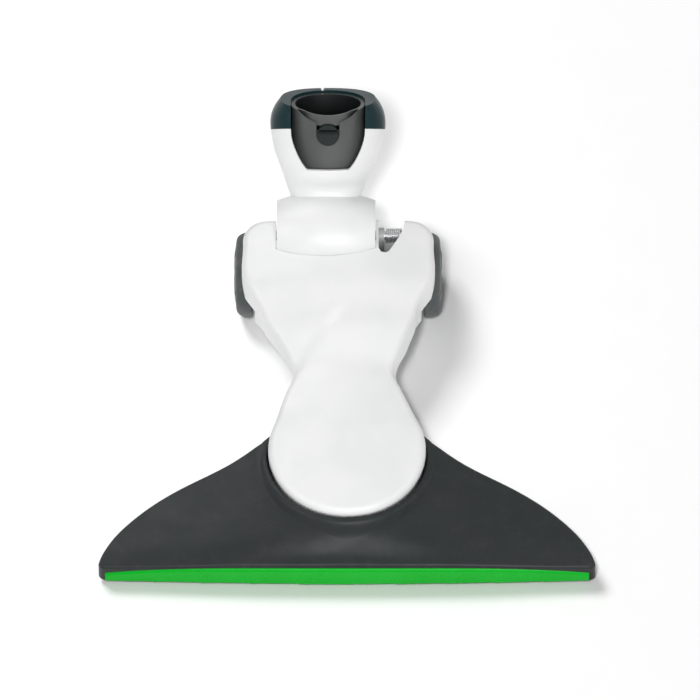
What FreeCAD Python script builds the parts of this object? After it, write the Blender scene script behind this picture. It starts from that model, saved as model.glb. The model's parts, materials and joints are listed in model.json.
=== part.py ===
import FreeCAD, Part
import math
import os
import Sketcher

# Floor head of an upright vacuum cleaner.
# Millimetres, +Z up, +Y to the rear, +X to the right as seen by somebody standing behind
# the front strip and looking to the rear. Shapes are drawn with the swivel axis at x = y = 0
# and are then moved forward by frame_back, so the row's origin is the middle of the footprint.

DOC = FreeCAD.newDocument("floor_head")
SHEET = DOC.addObject("Spreadsheet::Sheet", "Sizes")
V = FreeCAD.Vector

SIZES = [
    ("frame_back", 79.0, "from the swivel axis back to the middle of the footprint"),
    # wing base
    ("wing_half", 149.4, "half width of the base at the wing tips"),
    ("base_front", 72.9, "front face of the cover ahead of the swivel axis"),
    ("front_sag", 1.6, "how far the front edge runs back towards the tips"),
    ("base_bottom", 4.0, "lower rim of the base cover"),
    ("base_wall", 2.4, "wall of the base cover"),
    ("base_round", 2.0, "rounding of the base cover's upper edge"),
    ("ridge_height", 21.5, "height of the ridge over the front strip"),
    ("hub_height", 32.5, "height of the cover beside the swivel disc"),
    ("tip_height", 15.5, "height the wings run out to"),
    ("wing_fall", 55.0, "distance over which the wings fall away"),
    ("hub_radius", 46.0, "rear round of the base below the yoke"),
    ("recess_radius", 48.7, "round recess for the swivel disc"),
    ("recess_floor", 22.0, "top of the hub floor"),
    ("hub_floor_thick", 2.8, "thickness of the hub floor"),
    ("lip_height", 33.2, "top of the raised lip beside the swivel axis"),
    ("lip_rise", 4.64, "rise of the lip towards the front, degrees"),
    ("lip_wide", 1.2, "width of the level top of the lip"),
    ("bumper_low", 2.6, "lower edge of the front strip"),
    ("bumper_high", 18.6, "upper edge of the front strip"),
    ("bumper_deep", 4.2, "thickness of the front strip"),
    ("bumper_proud", 1.6, "how far the strip stands out of the cover"),
    ("bumper_half", 145.5, "half length of the front strip"),
    ("bumper_drop", 7.5, "how far the upper edge of the strip falls to its ends"),
    # sole
    ("sole_low", 3.2, "underside of the sole plate"),
    ("sole_thick", 2.5, "thickness of the sole plate"),
    ("slot_half", 95.0, "half width of the suction slot"),
    ("slot_front", 61.5, "front edge of the slot ahead of the axis"),
    ("slot_rear", 47.5, "rear edge of the slot ahead of the axis"),
    ("channel_top", 12.0, "top of the channel walls"),
    ("channel_lid_thick", 2.0, "thickness of the channel lid"),
    ("strip_wide", 4.0, "thickness of a bristle strip"),
    ("strip_half", 91.0, "half length of a bristle strip"),
    ("roller_radius", 6.0, "radius of a sole roller"),
    ("roller_wide", 9.0, "width of a sole roller"),
    ("roller_out", 104.0, "sole roller from the middle"),
    ("roller_ahead", 36.5, "sole roller axis ahead of the swivel axis"),
    ("roller_pin_radius", 1.5, "radius of a roller pin"),
    ("running_gap", 0.06, "radial clearance of the running shafts"),
    ("pad_radius", 6.0, "radius of a felt glide"),
    # swivel
    ("disc_radius", 47.6, "radius of the swivel disc"),
    ("disc_bottom", 23.0, "underside of the swivel disc"),
    ("bearing_in", 34.0, "inner radius of the bearing ring"),
    ("bearing_out", 42.0, "outer radius of the bearing ring"),
    ("bearing_gap", 0.05, "play between bearing ring and disc"),
    ("spigot_radius", 20.0, "outer radius of the swivel spigot"),
    ("spigot_bore", 17.6, "inner radius of the swivel spigot"),
    ("spigot_bottom", 8.6, "lower end of the spigot"),
    ("flange_radius", 27.0, "flange of the spigot"),
    ("flange_thick", 2.0, "thickness of the spigot flange"),
    # yoke
    ("yoke_wall", 3.0, "wall of the yoke cover"),
    ("yoke_split", 37.0, "joint between yoke cover and yoke base"),
    ("plate_thick", 2.2, "thickness of the yoke base plate"),
    ("yoke_round", 4.2, "rounding of the yoke's upper edge"),
    ("shadow_gap", 1.2, "how far the yoke base stands inside the cover's lower edge"),
    ("flank_tuck", 0.5, "how far the flanks draw in for each millimetre down"),
    ("tub_bottom", 14.0, "underside of the yoke's rear tub"),
    ("tub_wall", 2.4, "wall of the yoke base"),
    ("yoke_rear", 157.5, "rear end of the yoke behind the swivel axis"),
    # wheels
    ("wheel_radius", 26.0, "radius of a rear wheel over the tyre"),
    ("wheel_wide", 12.0, "width of a rear wheel"),
    ("wheel_back", 140.5, "wheel axle behind the swivel axis"),
    ("wheel_left_face", -68.9, "outer face of the left wheel"),
    ("wheel_right_face", 58.1, "outer face of the right wheel"),
    ("tyre_thick", 4.6, "thickness of the tyre"),
    ("axle_radius", 3.0, "radius of a wheel axle"),
    ("arch_gap", 2.2, "clearance round a wheel"),
    # tilt drum
    ("tilt_back", 152.7, "tilt axis behind the swivel axis"),
    ("tilt_height", 50.0, "tilt axis above the floor"),
    ("drum_centre", -12.8, "middle of the drum from the swivel axis"),
    ("drum_wide", 60.0, "width of the drum"),
    ("drum_radius", 27.0, "radius of the drum in the middle"),
    ("drum_end_radius", 21.5, "radius of the drum at its ends"),
    ("drum_wall", 2.6, "wall of the drum"),
    ("drum_gap", 0.5, "clearance round the drum"),
    ("pin_radius", 3.0, "radius of a hinge pin"),
    ("pocket_left", 19.2, "left side of the pocket"),
    ("pocket_right", 35.0, "right side of the pocket"),
    ("pocket_floor", 38.0, "floor of the pocket"),
    # neck and socket
    ("neck_slope", 32.6, "slope of the lower neck above level, degrees"),
    ("socket_slope", 56.0, "slope of the socket above level, degrees"),
    ("neck_reach", 33.1, "from the tilt axis to the bend of the neck"),
    ("socket_reach", 50.2, "from the bend to the mouth of the socket"),
    ("neck_wall", 2.4, "wall of the neck shells"),
    ("head_shift", 1.2, "how far the head stands to the right of the drum's middle"),
    ("hood_start", 33.6, "lower edge of the hood from the bend, on the socket's axis"),
    ("hood_lean", 20.0, "lean of the hood's lower edge, degrees"),
    ("hood_end", 52.0, "upper edge of the hood from the bend"),
    ("socket_half_wide", 22.5, "half width of the socket"),
    ("socket_half_deep", 19.5, "half depth of the socket"),
    ("socket_wall", 2.5, "wall of the socket"),
    ("socket_skin", 1.3, "outer skin of the socket's stepped front"),
    ("socket_start", 6.0, "lower end of the socket from the bend"),
    ("notch_wide", 14.0, "width of the notch in the socket"),
    ("notch_low", 29.5, "bottom of the notch from the bend"),
    ("latch_travel", 2.0, "travel of the latch button"),
    ("fit", 0.15, "clearance between fixed pieces"),
    ("screw_radius", 1.5, "radius of a screw shank"),
    ("screw_head", 2.9, "radius of a screw head"),
]

for row, (name, value, why) in enumerate(SIZES, start=1):
    SHEET.set("A%d" % row, str(value))
    SHEET.setAlias("A%d" % row, name)
    SHEET.set("B%d" % row, "'" + why)
DOC.recompute()


def size(name):
    """Value of one named driving dimension."""
    return float(SHEET.get(name))


FIT = size("fit")
BACK = size("frame_back")
PIECES = []


# ---------------------------------------------------------------- document helpers

def keep(obj, label):
    """Name a finished document object and put it on the list of pieces."""
    obj.Label = label
    PIECES.append(obj)
    return obj


def formed(label, shape):
    """A sculpted piece whose shape comes from Part functions, placed in the row frame."""
    obj = DOC.addObject("Part::Feature", label)
    if shape.ShapeType == "Compound" and len(shape.Solids) == 1:
        shape = shape.Solids[0]
    obj.Shape = shape
    forward = FreeCAD.Placement(V(0, -BACK, 0), FreeCAD.Rotation())
    obj.Placement = forward.multiply(shape.Placement)
    return keep(obj, label)


def value_of(expression):
    """Number an expression has now, used to draw a sketch near its final shape."""
    return float(SHEET.evalExpression(expression))


def place_by(obj, across, back, up, turn=None):
    """Bind an object's position to the sheet and give it a fixed turn."""
    if turn is not None:
        obj.Placement = FreeCAD.Placement(V(0, 0, 0), turn)
    obj.setExpression("Placement.Base.x", across)
    obj.setExpression("Placement.Base.y", "(%s) - Sizes.frame_back" % back)
    obj.setExpression("Placement.Base.z", up)


def closed_sketch(body, role, corners, name):
    """Closed polygon sketch on an origin plane; every corner is bound to two expressions."""
    sketch = body.newObject("Sketcher::SketchObject", name)
    plane = next(f for f in body.Origin.OriginFeatures if f.Role == role)
    sketch.AttachmentSupport = (plane, [""])
    sketch.MapMode = "FlatFace"
    spots = [V(value_of(a), value_of(b), 0) for a, b in corners]
    count = len(spots)
    for i in range(count):
        sketch.addGeometry(Part.LineSegment(spots[i], spots[(i + 1) % count]), False)
    for i in range(count):
        sketch.addConstraint(Sketcher.Constraint("Coincident", i, 2, (i + 1) % count, 1))
    for i in range(count):
        across = sketch.addConstraint(
            Sketcher.Constraint("DistanceX", -1, 1, i, 1, spots[i].x))
        sketch.setExpression("Constraints[%d]" % across, corners[i][0])
        along = sketch.addConstraint(
            Sketcher.Constraint("DistanceY", -1, 1, i, 1, spots[i].y))
        sketch.setExpression("Constraints[%d]" % along, corners[i][1])
    return sketch


TO_LEFT = FreeCAD.Rotation(V(0, 1, 0), -90)
TO_RIGHT = FreeCAD.Rotation(V(0, 1, 0), 90)
UPRIGHT = FreeCAD.Rotation()


def turned(label, corners, across, back, up, turn=UPRIGHT):
    """Body of revolution: corners are (radius, height) expressions round the body's Z axis."""
    body = DOC.addObject("PartDesign::Body", label)
    sketch = closed_sketch(body, "XZ_Plane", corners, label + "_profile")
    DOC.recompute()
    spin = body.newObject("PartDesign::Revolution", label + "_turn")
    spin.Profile = sketch
    spin.ReferenceAxis = (sketch, ["V_Axis"])
    spin.Angle = 360
    sketch.Visibility = False
    place_by(body, across, back, up, turn)
    DOC.recompute()
    return keep(body, label)


def ring_corners(inner, outer, low, high):
    """Square-cut ring profile from four expressions."""
    return [(inner, low), (outer, low), (outer, high), (inner, high)]


# ---------------------------------------------------------------- shape helpers

def spline_edge(points):
    """Smooth edge through the given points."""
    curve = Part.BSplineCurve()
    curve.interpolate([V(*p) for p in points])
    return curve.toShape()


def prism(wire, low, high):
    """Upright solid between two heights over a flat closed wire drawn at z = 0."""
    face = Part.Face(wire)
    face.translate(V(0, 0, low))
    return face.extrude(V(0, 0, high - low))


def polygon_prism_x(corners, left, right):
    """Solid from a (y, z) polygon, running from left to right along X."""
    loop = [V(left, y, z) for y, z in corners]
    wire = Part.makePolygon(loop + [loop[0]])
    return Part.Face(wire).extrude(V(right - left, 0, 0))


def polygon_prism_z(corners, low, high):
    """Solid from an (x, y) polygon, running from low to high."""
    loop = [V(x, y, low) for x, y in corners]
    wire = Part.makePolygon(loop + [loop[0]])
    return Part.Face(wire).extrude(V(0, 0, high - low))


def block(x0, x1, y0, y1, z0, z1):
    """Box between two corners."""
    return Part.makeBox(x1 - x0, y1 - y0, z1 - z0, V(x0, y0, z0))


def rod(x, y, z, radius, length, axis=V(0, 0, 1)):
    """Cylinder from a start point along an axis."""
    return Part.makeCylinder(radius, length, V(x, y, z), axis)


def tube(x, y, z, outer, inner, length, axis=V(0, 0, 1)):
    """Round tube from a start point along an axis."""
    return rod(x, y, z, outer, length, axis).cut(rod(x, y, z, inner, length, axis))


def under_field(height, x0, x1, y0, y1, step, bottom):
    """Solid below a smooth height function z = height(x, y)."""
    across = max(4, int(round((x1 - x0) / step)))
    along = max(4, int(round((y1 - y0) / step)))
    rows = []
    for i in range(across + 1):
        x = x0 + (x1 - x0) * i / across
        column = []
        for j in range(along + 1):
            y = y0 + (y1 - y0) * j / along
            column.append(V(x, y, height(x, y)))
        rows.append(column)
    surface = Part.BSplineSurface()
    surface.interpolate(rows)
    lid = surface.toShape()
    deep = max(p.z for r in rows for p in r) - bottom
    return lid.extrude(V(0, 0, -deep - 5.0))


def upper_edges(solid, low):
    """Edges above a height that are not upright: the run round a crowned top."""
    picked = []
    for edge in solid.Edges:
        box = edge.BoundBox
        if box.ZMin < low or box.ZLength > 0.9 * max(box.XLength, box.YLength, 0.001):
            continue
        picked.append(edge)
    return picked


def rounded(solid, edges, radius):
    """Fillet that steps down to a smaller radius when the full one cannot be made."""
    for scale in (1.0, 0.8, 0.6, 0.4):
        try:
            result = solid.makeFillet(radius * scale, edges)
            if result.isValid() and result.Volume > 0.5 * solid.Volume:
                return result
        except Exception:
            continue
    print("no fillet", radius)
    return solid


def moved_aside(points, amount):
    """Open run of (x, y) points moved to its right-hand side by an amount."""
    result = []
    for i, (x, y) in enumerate(points):
        before = points[max(0, i - 1)]
        after = points[min(len(points) - 1, i + 1)]
        dx = after[0] - before[0]
        dy = after[1] - before[1]
        long = math.hypot(dx, dy)
        result.append((x + dy / long * amount, y - dx / long * amount))
    return result


def ease(t):
    """Smooth step from 0 to 1."""
    t = min(1.0, max(0.0, t))
    return t * t * (3 - 2 * t)


def along_table(table, y):
    """Smooth value between (position, value) stations, with level ends."""
    if y <= table[0][0]:
        return table[0][1]
    for (ya, va), (yb, vb) in zip(table, table[1:]):
        if y <= yb:
            return va + (vb - va) * ease((y - ya) / (yb - ya))
    return table[-1][1]


def largest(shape):
    """Largest solid of a boolean result."""
    return max(shape.Solids, key=lambda s: s.Volume)


# ---------------------------------------------------------------- wing base

WING_EDGE = [
    (45.8, 16.0), (51.0, 11.0), (57.0, 6.8), (68.5, -0.5), (82.7, -7.7), (98.0, -15.1),
    (111.5, -23.1), (122.7, -31.5), (132.0, -40.1), (139.7, -48.9), (145.2, -57.5),
    (147.7, -62.5),
]


def base_outline(shrink=0.0):
    """Plan of the base: straight front, swept rear edges and the round hub."""
    half = size("wing_half") - shrink
    front = size("base_front") - shrink
    hub = size("hub_radius") - shrink
    hub_at = V(math.sqrt(hub * hub - 13.2 ** 2), 13.2, 0)
    sag = size("front_sag")
    tip_side = V(half, sag + 3.4 - front, 0)
    tip_middle = V(half - 1.3, sag + 1.3 - front, 0)
    tip_front = V(half - 4.6, sag + 0.2 - front, 0)
    edge = moved_aside(WING_EDGE, shrink) + [(tip_side.x, tip_side.y)]

    def flip(p):
        return V(-p.x, p.y, 0)

    start = V(edge[0][0], edge[0][1], 0)
    parts = [
        spline_edge([(x, y, 0) for x, y in edge]),
        Part.Arc(tip_side, tip_middle, tip_front).toShape(),
        Part.Arc(tip_front, V(0, -front, 0), flip(tip_front)).toShape(),
        Part.Arc(flip(tip_front), flip(tip_middle), flip(tip_side)).toShape(),
        spline_edge([(-x, y, 0) for x, y in edge]),
        Part.LineSegment(flip(start), flip(hub_at)).toShape(),
        Part.Arc(flip(hub_at), V(0, hub, 0), hub_at).toShape(),
        Part.LineSegment(hub_at, start).toShape(),
    ]
    return Part.Wire(Part.__sortEdges__(parts))


def wing_height(x, y):
    """Top of the base cover: falls from the hub to the tips and dips behind the ridge."""
    reach = math.hypot(x, y)
    far = max(0.0, reach - 52.0)
    top = size("tip_height") + (size("hub_height") - size("tip_height")) * math.exp(
        -far / size("wing_fall"))
    from_front = y + size("base_front")
    ridge = size("ridge_height") - 3.4 * ease((abs(x) - 60.0) / 88.0)
    climb = ridge + 0.62 * max(0.0, from_front - 4.0) + 0.018 * max(0.0, from_front - 4.0) ** 2
    blend = 2.2
    low = -blend * math.log(math.exp(-top / blend) + math.exp(-climb / blend))
    return low + 0.9 * math.exp(-((from_front - 3.0) / 3.2) ** 2)


def raised_lip():
    """Rounded lip round the disc, one turned ring that leans up towards the front."""
    inner = size("recess_radius") - 2.4
    top = size("recess_radius") + size("lip_wide")
    foot = V(inner, 0, -14.0)
    shoulder = V(top, 0, 0)
    slope = [(top, 0), (top + 2.2, -0.9), (top + 4.1, -3.4), (top + 6.0, -6.6),
             (top + 9.2, -10.4), (top + 13.6, -14.2)]
    under = [slope[-1], (top + 12.0, -15.8), (top + 7.2, -11.4), (top + 4.1, -7.4),
             (top + 2.1, -5.0), (top + 1.7, -14.0), (inner, -14.0)]
    edges = [
        Part.LineSegment(foot, V(inner, 0, 0)).toShape(),
        Part.LineSegment(V(inner, 0, 0), shoulder).toShape(),
        spline_edge([(r, 0, z) for r, z in slope]),
    ]
    for (ra, za), (rb, zb) in zip(under, under[1:]):
        edges.append(Part.LineSegment(V(ra, 0, za), V(rb, 0, zb)).toShape())
    loop = Part.Wire(edges)
    ring = Part.Face(loop).revolve(V(0, 0, 0), V(0, 0, 1), 360)
    if not ring.Solids:
        ring = Part.Solid(ring)
    ring.rotate(V(0, 0, 0), V(1, 0, 0), -size("lip_rise"))
    ring.translate(V(0, 0, size("lip_height")))
    return ring.cut(block(-90, 90, -90, 90, -10, size("lip_height") - 16.5))


SCREWS_BASE = [(62, -25.5), (-62, -25.5), (126, -49.5), (-126, -49.5), (23, 31), (-23, 31)]
PADS = [(84, -29.5), (-84, -29.5), (0, 36)]


def channel_plan(grow):
    """Plan of the suction channel from the slot back to the hub; the return is an (x, y) list."""
    half = size("slot_half") + grow
    front = -size("slot_front") - grow
    rear = -size("slot_rear") + grow
    hub = 27.0 + grow
    points = [(-half, front), (half, front), (half, rear)]
    for degrees in range(-50, 231, 20):
        angle = math.radians(degrees)
        points.append((hub * math.cos(angle), hub * math.sin(angle)))
    points.append((-half, rear))
    return points


def base_cover():
    """Dark upper shell of the base with the recess for the swivel disc."""
    wire = base_outline()
    bottom = size("base_bottom")
    wall = size("base_wall")
    field = under_field(wing_height, -156, 156, -80, 52, 6.5, -2)
    outer = largest(prism(wire, bottom, 60).common(field))
    forward = [e for e in upper_edges(outer, 14.0) if e.BoundBox.YMin < 12.5]
    outer = rounded(outer, forward, size("base_round"))

    inner_wire = base_outline(wall)
    lowered = field.copy()
    lowered.translate(V(0, 0, -wall))
    hollow = largest(prism(inner_wire, bottom - 3, 60).common(lowered))

    floor_top = size("recess_floor")
    floor_low = floor_top - size("hub_floor_thick")
    recess = size("recess_radius")
    lip = raised_lip().common(prism(wire, 0, 60))
    hub_floor = rod(0, 0, floor_low, recess + 0.5, size("hub_floor_thick"))
    hub_floor = hub_floor.common(prism(wire, 0, 60))
    bore = size("spigot_radius") + size("running_gap")
    sleeve = tube(0, 0, 14.2, 23.2, bore, floor_top - 14.2 - 0.5)
    sleeve_foot = tube(0, 0, 14.2, 28.0, bore, 1.8)
    gussets = block(-recess, recess, -1, 1, 16.0, floor_low + 0.5)
    gussets = gussets.fuse(block(-1, 1, -recess, 45.0, 16.0, floor_low + 0.5))
    gussets = gussets.cut(rod(0, 0, 0, 22.0, 60))

    posts = [rod(x, y, size("sole_low") + size("sole_thick") + 0.1, 3.6, 40)
             for x, y in SCREWS_BASE]
    posts = posts[0].fuse(posts[1:]).common(outer)
    shell = outer.cut(hollow).fuse([lip, hub_floor, sleeve, sleeve_foot, gussets, posts])
    cutters = [rod(0, 0, floor_top, recess, 60), rod(0, 0, 0, bore, 60), bumper_solid(FIT)]
    for x, y in SCREWS_BASE:
        cutters.append(rod(x, y, 0, size("screw_radius") + 0.05, 14.0))
    return formed("base_cover", largest(shell.cut(cutters)))


def bumper_solid(grow):
    """Front strip with a bulged face; grow widens it into the rebate that holds it."""
    half = size("bumper_half") + grow
    front = size("base_front")
    low = size("bumper_low") - 6 * grow
    high = size("bumper_high") + grow
    deep = size("bumper_deep") + grow

    def strip_top(x, y):
        return high - size("bumper_drop") * (abs(x) / half) ** 3.5

    proud = size("bumper_proud")
    sag = size("front_sag")
    end = sag - 0.5 - front
    curve = [V(-half, end, 0), V(0, -front - proud, 0), V(half, end, 0)]
    inner = [V(half, end + 1.2, 0), V(0, deep - front - proud, 0), V(-half, end + 1.2, 0)]
    loop = Part.Wire([
        Part.Arc(*curve).toShape(),
        Part.LineSegment(curve[2], inner[0]).toShape(),
        Part.Arc(*inner).toShape(),
        Part.LineSegment(inner[2], curve[0]).toShape(),
    ])
    solid = prism(loop, low, high + 4)
    roof = under_field(strip_top, -half - 3, half + 3, -front - 8, -front + 14, 12.0, low - 2)
    return largest(solid.common(roof))


def front_bumper():
    """Green front strip."""
    body = bumper_solid(0.0)
    front = [e for e in body.Edges
             if e.Length > 200 and e.BoundBox.YMin < -size("base_front") - 0.5]
    body = rounded(body, front, 2.2)
    return formed("front_bumper", body)


def sole_plate():
    """Lower plate of the base with the slot, the channel walls and the roller pockets."""
    low = size("sole_low")
    top = low + size("sole_thick")
    plate = prism(base_outline(size("base_wall") + FIT), low, top)
    plate = plate.cut(bumper_solid(2 * FIT))
    wall = polygon_prism_z(channel_plan(2.0), low, size("channel_top"))
    space = polygon_prism_z(channel_plan(0.0), top, 40)
    slot = block(-size("slot_half"), size("slot_half"), -size("slot_front"), -size("slot_rear"),
                 0, top + 1)
    cutters = [space, slot]
    bays = []
    for x, y in SCREWS_BASE:
        cutters.append(rod(x, y, 0, size("screw_radius") + 0.05, 20))
        cutters.append(rod(x, y, 0, size("screw_head") + 0.1, low + 1.4))
    for x, y in PADS:
        cutters.append(rod(x, y, 0, size("pad_radius") + FIT, low + 1.0))
    for ahead in strip_places():
        half = size("strip_half") + FIT
        thick = size("strip_wide") / 2 + FIT
        cutters.append(block(-half, half, -ahead - thick, -ahead + thick, 0, low + 1.6))
    for side in (-1, 1):
        spot = side * size("roller_out")
        reach = size("roller_wide") / 2 + 0.6
        ahead = size("roller_ahead")
        bay = size("roller_radius") + 1.0
        bays.append(block(spot - reach - 2, spot + reach + 2, -ahead - bay - 2,
                          -ahead + bay + 2, low, 14.5))
        cutters.append(block(spot - reach, spot + reach, -ahead - bay, -ahead + bay, 0, 12.8))
        cutters.append(rod(spot - 7.0, -ahead, size("roller_radius"),
                           size("roller_pin_radius") + 0.02, 14.0, V(1, 0, 0)))
    return formed("sole_plate", largest(plate.fuse([wall] + bays).cut(cutters)))


def strip_places():
    """Middle lines of the two bristle strips, ahead of the swivel axis."""
    half = size("strip_wide") / 2
    return [size("slot_front") + half + 1.6, size("slot_rear") - half - 1.6]


def bristle_strip(label, ahead):
    """Bristle strip in its groove, standing on the floor."""
    body = DOC.addObject("PartDesign::Body", label)
    half = "Sizes.strip_half"
    thick = "Sizes.strip_wide / 2"
    corners = [("-" + half, "-" + thick), (half, "-" + thick), (half, thick), ("-" + half, thick)]
    sketch = closed_sketch(body, "XY_Plane", corners, label + "_plan")
    DOC.recompute()
    pad = body.newObject("PartDesign::Pad", label + "_pad")
    pad.Profile = sketch
    pad.setExpression("Length", "Sizes.sole_low + 1.5")
    sketch.Visibility = False
    place_by(body, "0", "-(%s)" % ahead, "0")
    DOC.recompute()
    return keep(body, label)


def channel_lid():
    """Lid of the suction channel, with the round hole below the swivel."""
    low = size("channel_top") + 0.05
    plate = polygon_prism_z(channel_plan(2.0), low, low + size("channel_lid_thick"))
    plate = plate.cut(rod(0, 0, 0, 25.0, 60))
    for x, y in SCREWS_BASE:
        plate = plate.cut(rod(x, y, 0, 3.6 + FIT, 60))
    for side in (-1, 1):
        spot = side * size("roller_out")
        ahead = size("roller_ahead")
        plate = plate.cut(block(spot - 8, spot + 8, -ahead - 17, -ahead + 23, 0, 30))
    return formed("channel_lid", largest(plate))


def swivel_bearing():
    """Low-friction ring between hub floor and swivel disc."""
    top = "Sizes.disc_bottom - Sizes.bearing_gap"
    corners = ring_corners("Sizes.bearing_in", "Sizes.bearing_out", "Sizes.recess_floor", top)
    return turned("swivel_bearing", corners, "0", "0", "0")


def sole_rollers():
    """Two sole rollers, each on its own pin."""
    made = []
    radius = "Sizes.roller_radius"
    bore = "Sizes.roller_pin_radius + Sizes.running_gap"
    half = "Sizes.roller_wide / 2"
    edge = "Sizes.roller_radius - 1"
    corners = [(bore, "-" + half), (edge, "-" + half), (radius, "1 - " + half),
               (radius, half + " - 1"), (edge, half), (bore, half)]
    for label, side in (("roller_left", "-"), ("roller_right", "")):
        made.append(turned(label, corners, side + "Sizes.roller_out", "-Sizes.roller_ahead",
                           radius, TO_RIGHT))
    pins = []
    for side in (-1, 1):
        spot = side * size("roller_out")
        long = size("roller_wide") / 2 + 2.3
        pins.append(rod(spot - long, -size("roller_ahead"), size("roller_radius"),
                        size("roller_pin_radius"), 2 * long, V(1, 0, 0)))
    made.append(formed("roller_pins", Part.makeCompound(pins)))
    return made


def glide_pads():
    """Felt glides under the sole, one solid each."""
    low = size("sole_low")
    pads = [rod(x, y, 0.3, size("pad_radius"), low + 0.7) for x, y in PADS]
    return formed("glide_pads", Part.makeCompound(pads))


def screw(x, y, z, axis, length):
    """Pan head screw: head at the start point, shank along the axis, cross recess."""
    axis = axis.normalize()
    head = rod(x, y, z, size("screw_head"), 1.2, axis)
    shank = rod(x, y, z, size("screw_radius"), length, axis)
    body = head.fuse(shank)
    side = axis.cross(V(1, 0, 0)) if abs(axis.x) < 0.9 else axis.cross(V(0, 1, 0))
    side.normalize()
    other = axis.cross(side)
    for way, across in ((side, other), (other, side)):
        start = V(x, y, z) - way * 1.9 - across * 0.35 - axis * 0.4
        corner = [start, start + way * 3.8, start + way * 3.8 + across * 0.7, start + across * 0.7]
        cutter = Part.Face(Part.makePolygon(corner + [corner[0]])).extrude(axis * 1.1)
        body = body.cut(cutter)
    return body


def base_screws():
    """Screws that close the base from below."""
    solids = [screw(x, y, size("sole_low") + 0.2, V(0, 0, 1), 9.5) for x, y in SCREWS_BASE]
    return formed("base_screws", Part.makeCompound(solids))


# ---------------------------------------------------------------- swivel

def swivel_parts():
    """Spigot of the yoke, the ring that keeps it in the hub, and its seal."""
    spigot = turned("swivel_spigot", [
        ("Sizes.spigot_bore", "Sizes.spigot_bottom"),
        ("Sizes.spigot_radius - 1", "Sizes.spigot_bottom"),
        ("Sizes.spigot_radius", "Sizes.spigot_bottom + 1"),
        ("Sizes.spigot_radius", "Sizes.disc_bottom + Sizes.tub_wall + 0.05"),
        ("Sizes.flange_radius", "Sizes.disc_bottom + Sizes.tub_wall + 0.05"),
        ("Sizes.flange_radius",
         "Sizes.disc_bottom + Sizes.tub_wall + 0.05 + Sizes.flange_thick"),
        ("Sizes.spigot_bore",
         "Sizes.disc_bottom + Sizes.tub_wall + 0.05 + Sizes.flange_thick"),
    ], "0", "0", "0")
    ring = turned("retaining_ring", ring_corners(
        "Sizes.spigot_radius + 0.02", "24.4", "11.4", "13.9"), "0", "0", "0")
    seal = turned("swivel_seal", [
        ("29.4", "Sizes.recess_floor"), ("32.6", "Sizes.recess_floor"),
        ("31.4", "Sizes.disc_bottom - 0.1"), ("30.6", "Sizes.disc_bottom - 0.1"),
    ], "0", "0", "0")
    return [spigot, ring, seal]


# ---------------------------------------------------------------- yoke

YOKE_LEFT = [(15.0, -45.17), (25.3, -41.9), (38.1, -38.2), (47.4, -36.2), (54.1, -35.8),
             (69.1, -42.9), (81.2, -52.4), (90.1, -57.8), (100.0, -61.4), (117.5, -63.2),
             (136.5, -63.4)]
YOKE_RIGHT = [(15.0, 45.17), (25.3, 40.6), (38.1, 35.2), (46.6, 33.0), (53.9, 32.3),
              (62.9, 34.6), (71.0, 39.2), (82.4, 45.3), (91.0, 48.8), (101.5, 51.4),
              (117.5, 52.6), (136.5, 52.8)]
YOKE_RIDGE = [(-48, 43.0), (-10, 44.0), (22, 44.8), (55.5, 47.8), (88.5, 56.5),
              (117.5, 62.4), (146.5, 63.2), (171.5, 62.0)]
YOKE_RIM = [(40, 40.0), (54, 42.0), (70, 46.0), (88.5, 51.5), (117.5, 57.0)]
CREASE_START = V(-34.0, 50.5, 0)
CREASE_END = V(28.0, 137.5, 0)


def drawn_in(points, level):
    """Side points of the yoke at a height: below the rim the flanks draw in."""
    result = []
    for y, x in points:
        share = ease((y - 38.0) / 16.0) * (1 - ease((y - 98.0) / 20.0))
        move = size("flank_tuck") * (along_table(YOKE_RIM, y) - level) * share
        result.append((y, x - math.copysign(move, x)))
    return result


def sides_and_rear(left, right, rear, corner, shrink):
    """Edges of the two swept sides and of the rear end with its round corners."""
    right = moved_aside([(x, y) for y, x in right], -shrink)
    left = moved_aside([(x, y) for y, x in left], shrink)
    rear = rear - shrink
    corner = corner - shrink
    slack = corner * (1 - math.sqrt(0.5))
    low = rear - corner
    east = right[-1][0]
    west = left[-1][0]
    edges = [
        spline_edge([(x, y, 0) for x, y in right] + [(east, low, 0)]),
        spline_edge([(x, y, 0) for x, y in left] + [(west, low, 0)]),
        Part.Arc(V(east, low, 0), V(east - slack, rear - slack, 0),
                 V(east - corner, rear, 0)).toShape(),
        Part.Arc(V(west, low, 0), V(west + slack, rear - slack, 0),
                 V(west + corner, rear, 0)).toShape(),
        Part.LineSegment(V(east - corner, rear, 0), V(west + corner, rear, 0)).toShape(),
    ]
    return edges, V(left[0][0], left[0][1], 0), V(right[0][0], right[0][1], 0)


def yoke_outline(shrink, level):
    """Hourglass plan of the yoke: swivel disc, waist and shoulders with round rear corners."""
    edges, start_left, start_right = sides_and_rear(
        drawn_in(YOKE_LEFT, level), drawn_in(YOKE_RIGHT, level), size("yoke_rear"), 14.0,
        shrink)
    front = V(0, shrink - size("disc_radius"), 0)
    edges.append(Part.Arc(start_left, front, start_right).toShape())
    wire = Part.Wire(Part.__sortEdges__(edges))
    wire.translate(V(0, 0, level))
    return wire


def yoke_body(shrink, low, high):
    """Solid between two heights of the yoke, with its flanks drawn in below the rim."""
    wires = [yoke_outline(shrink, low), yoke_outline(shrink, high)]
    return Part.makeLoft(wires, True, True)


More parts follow.
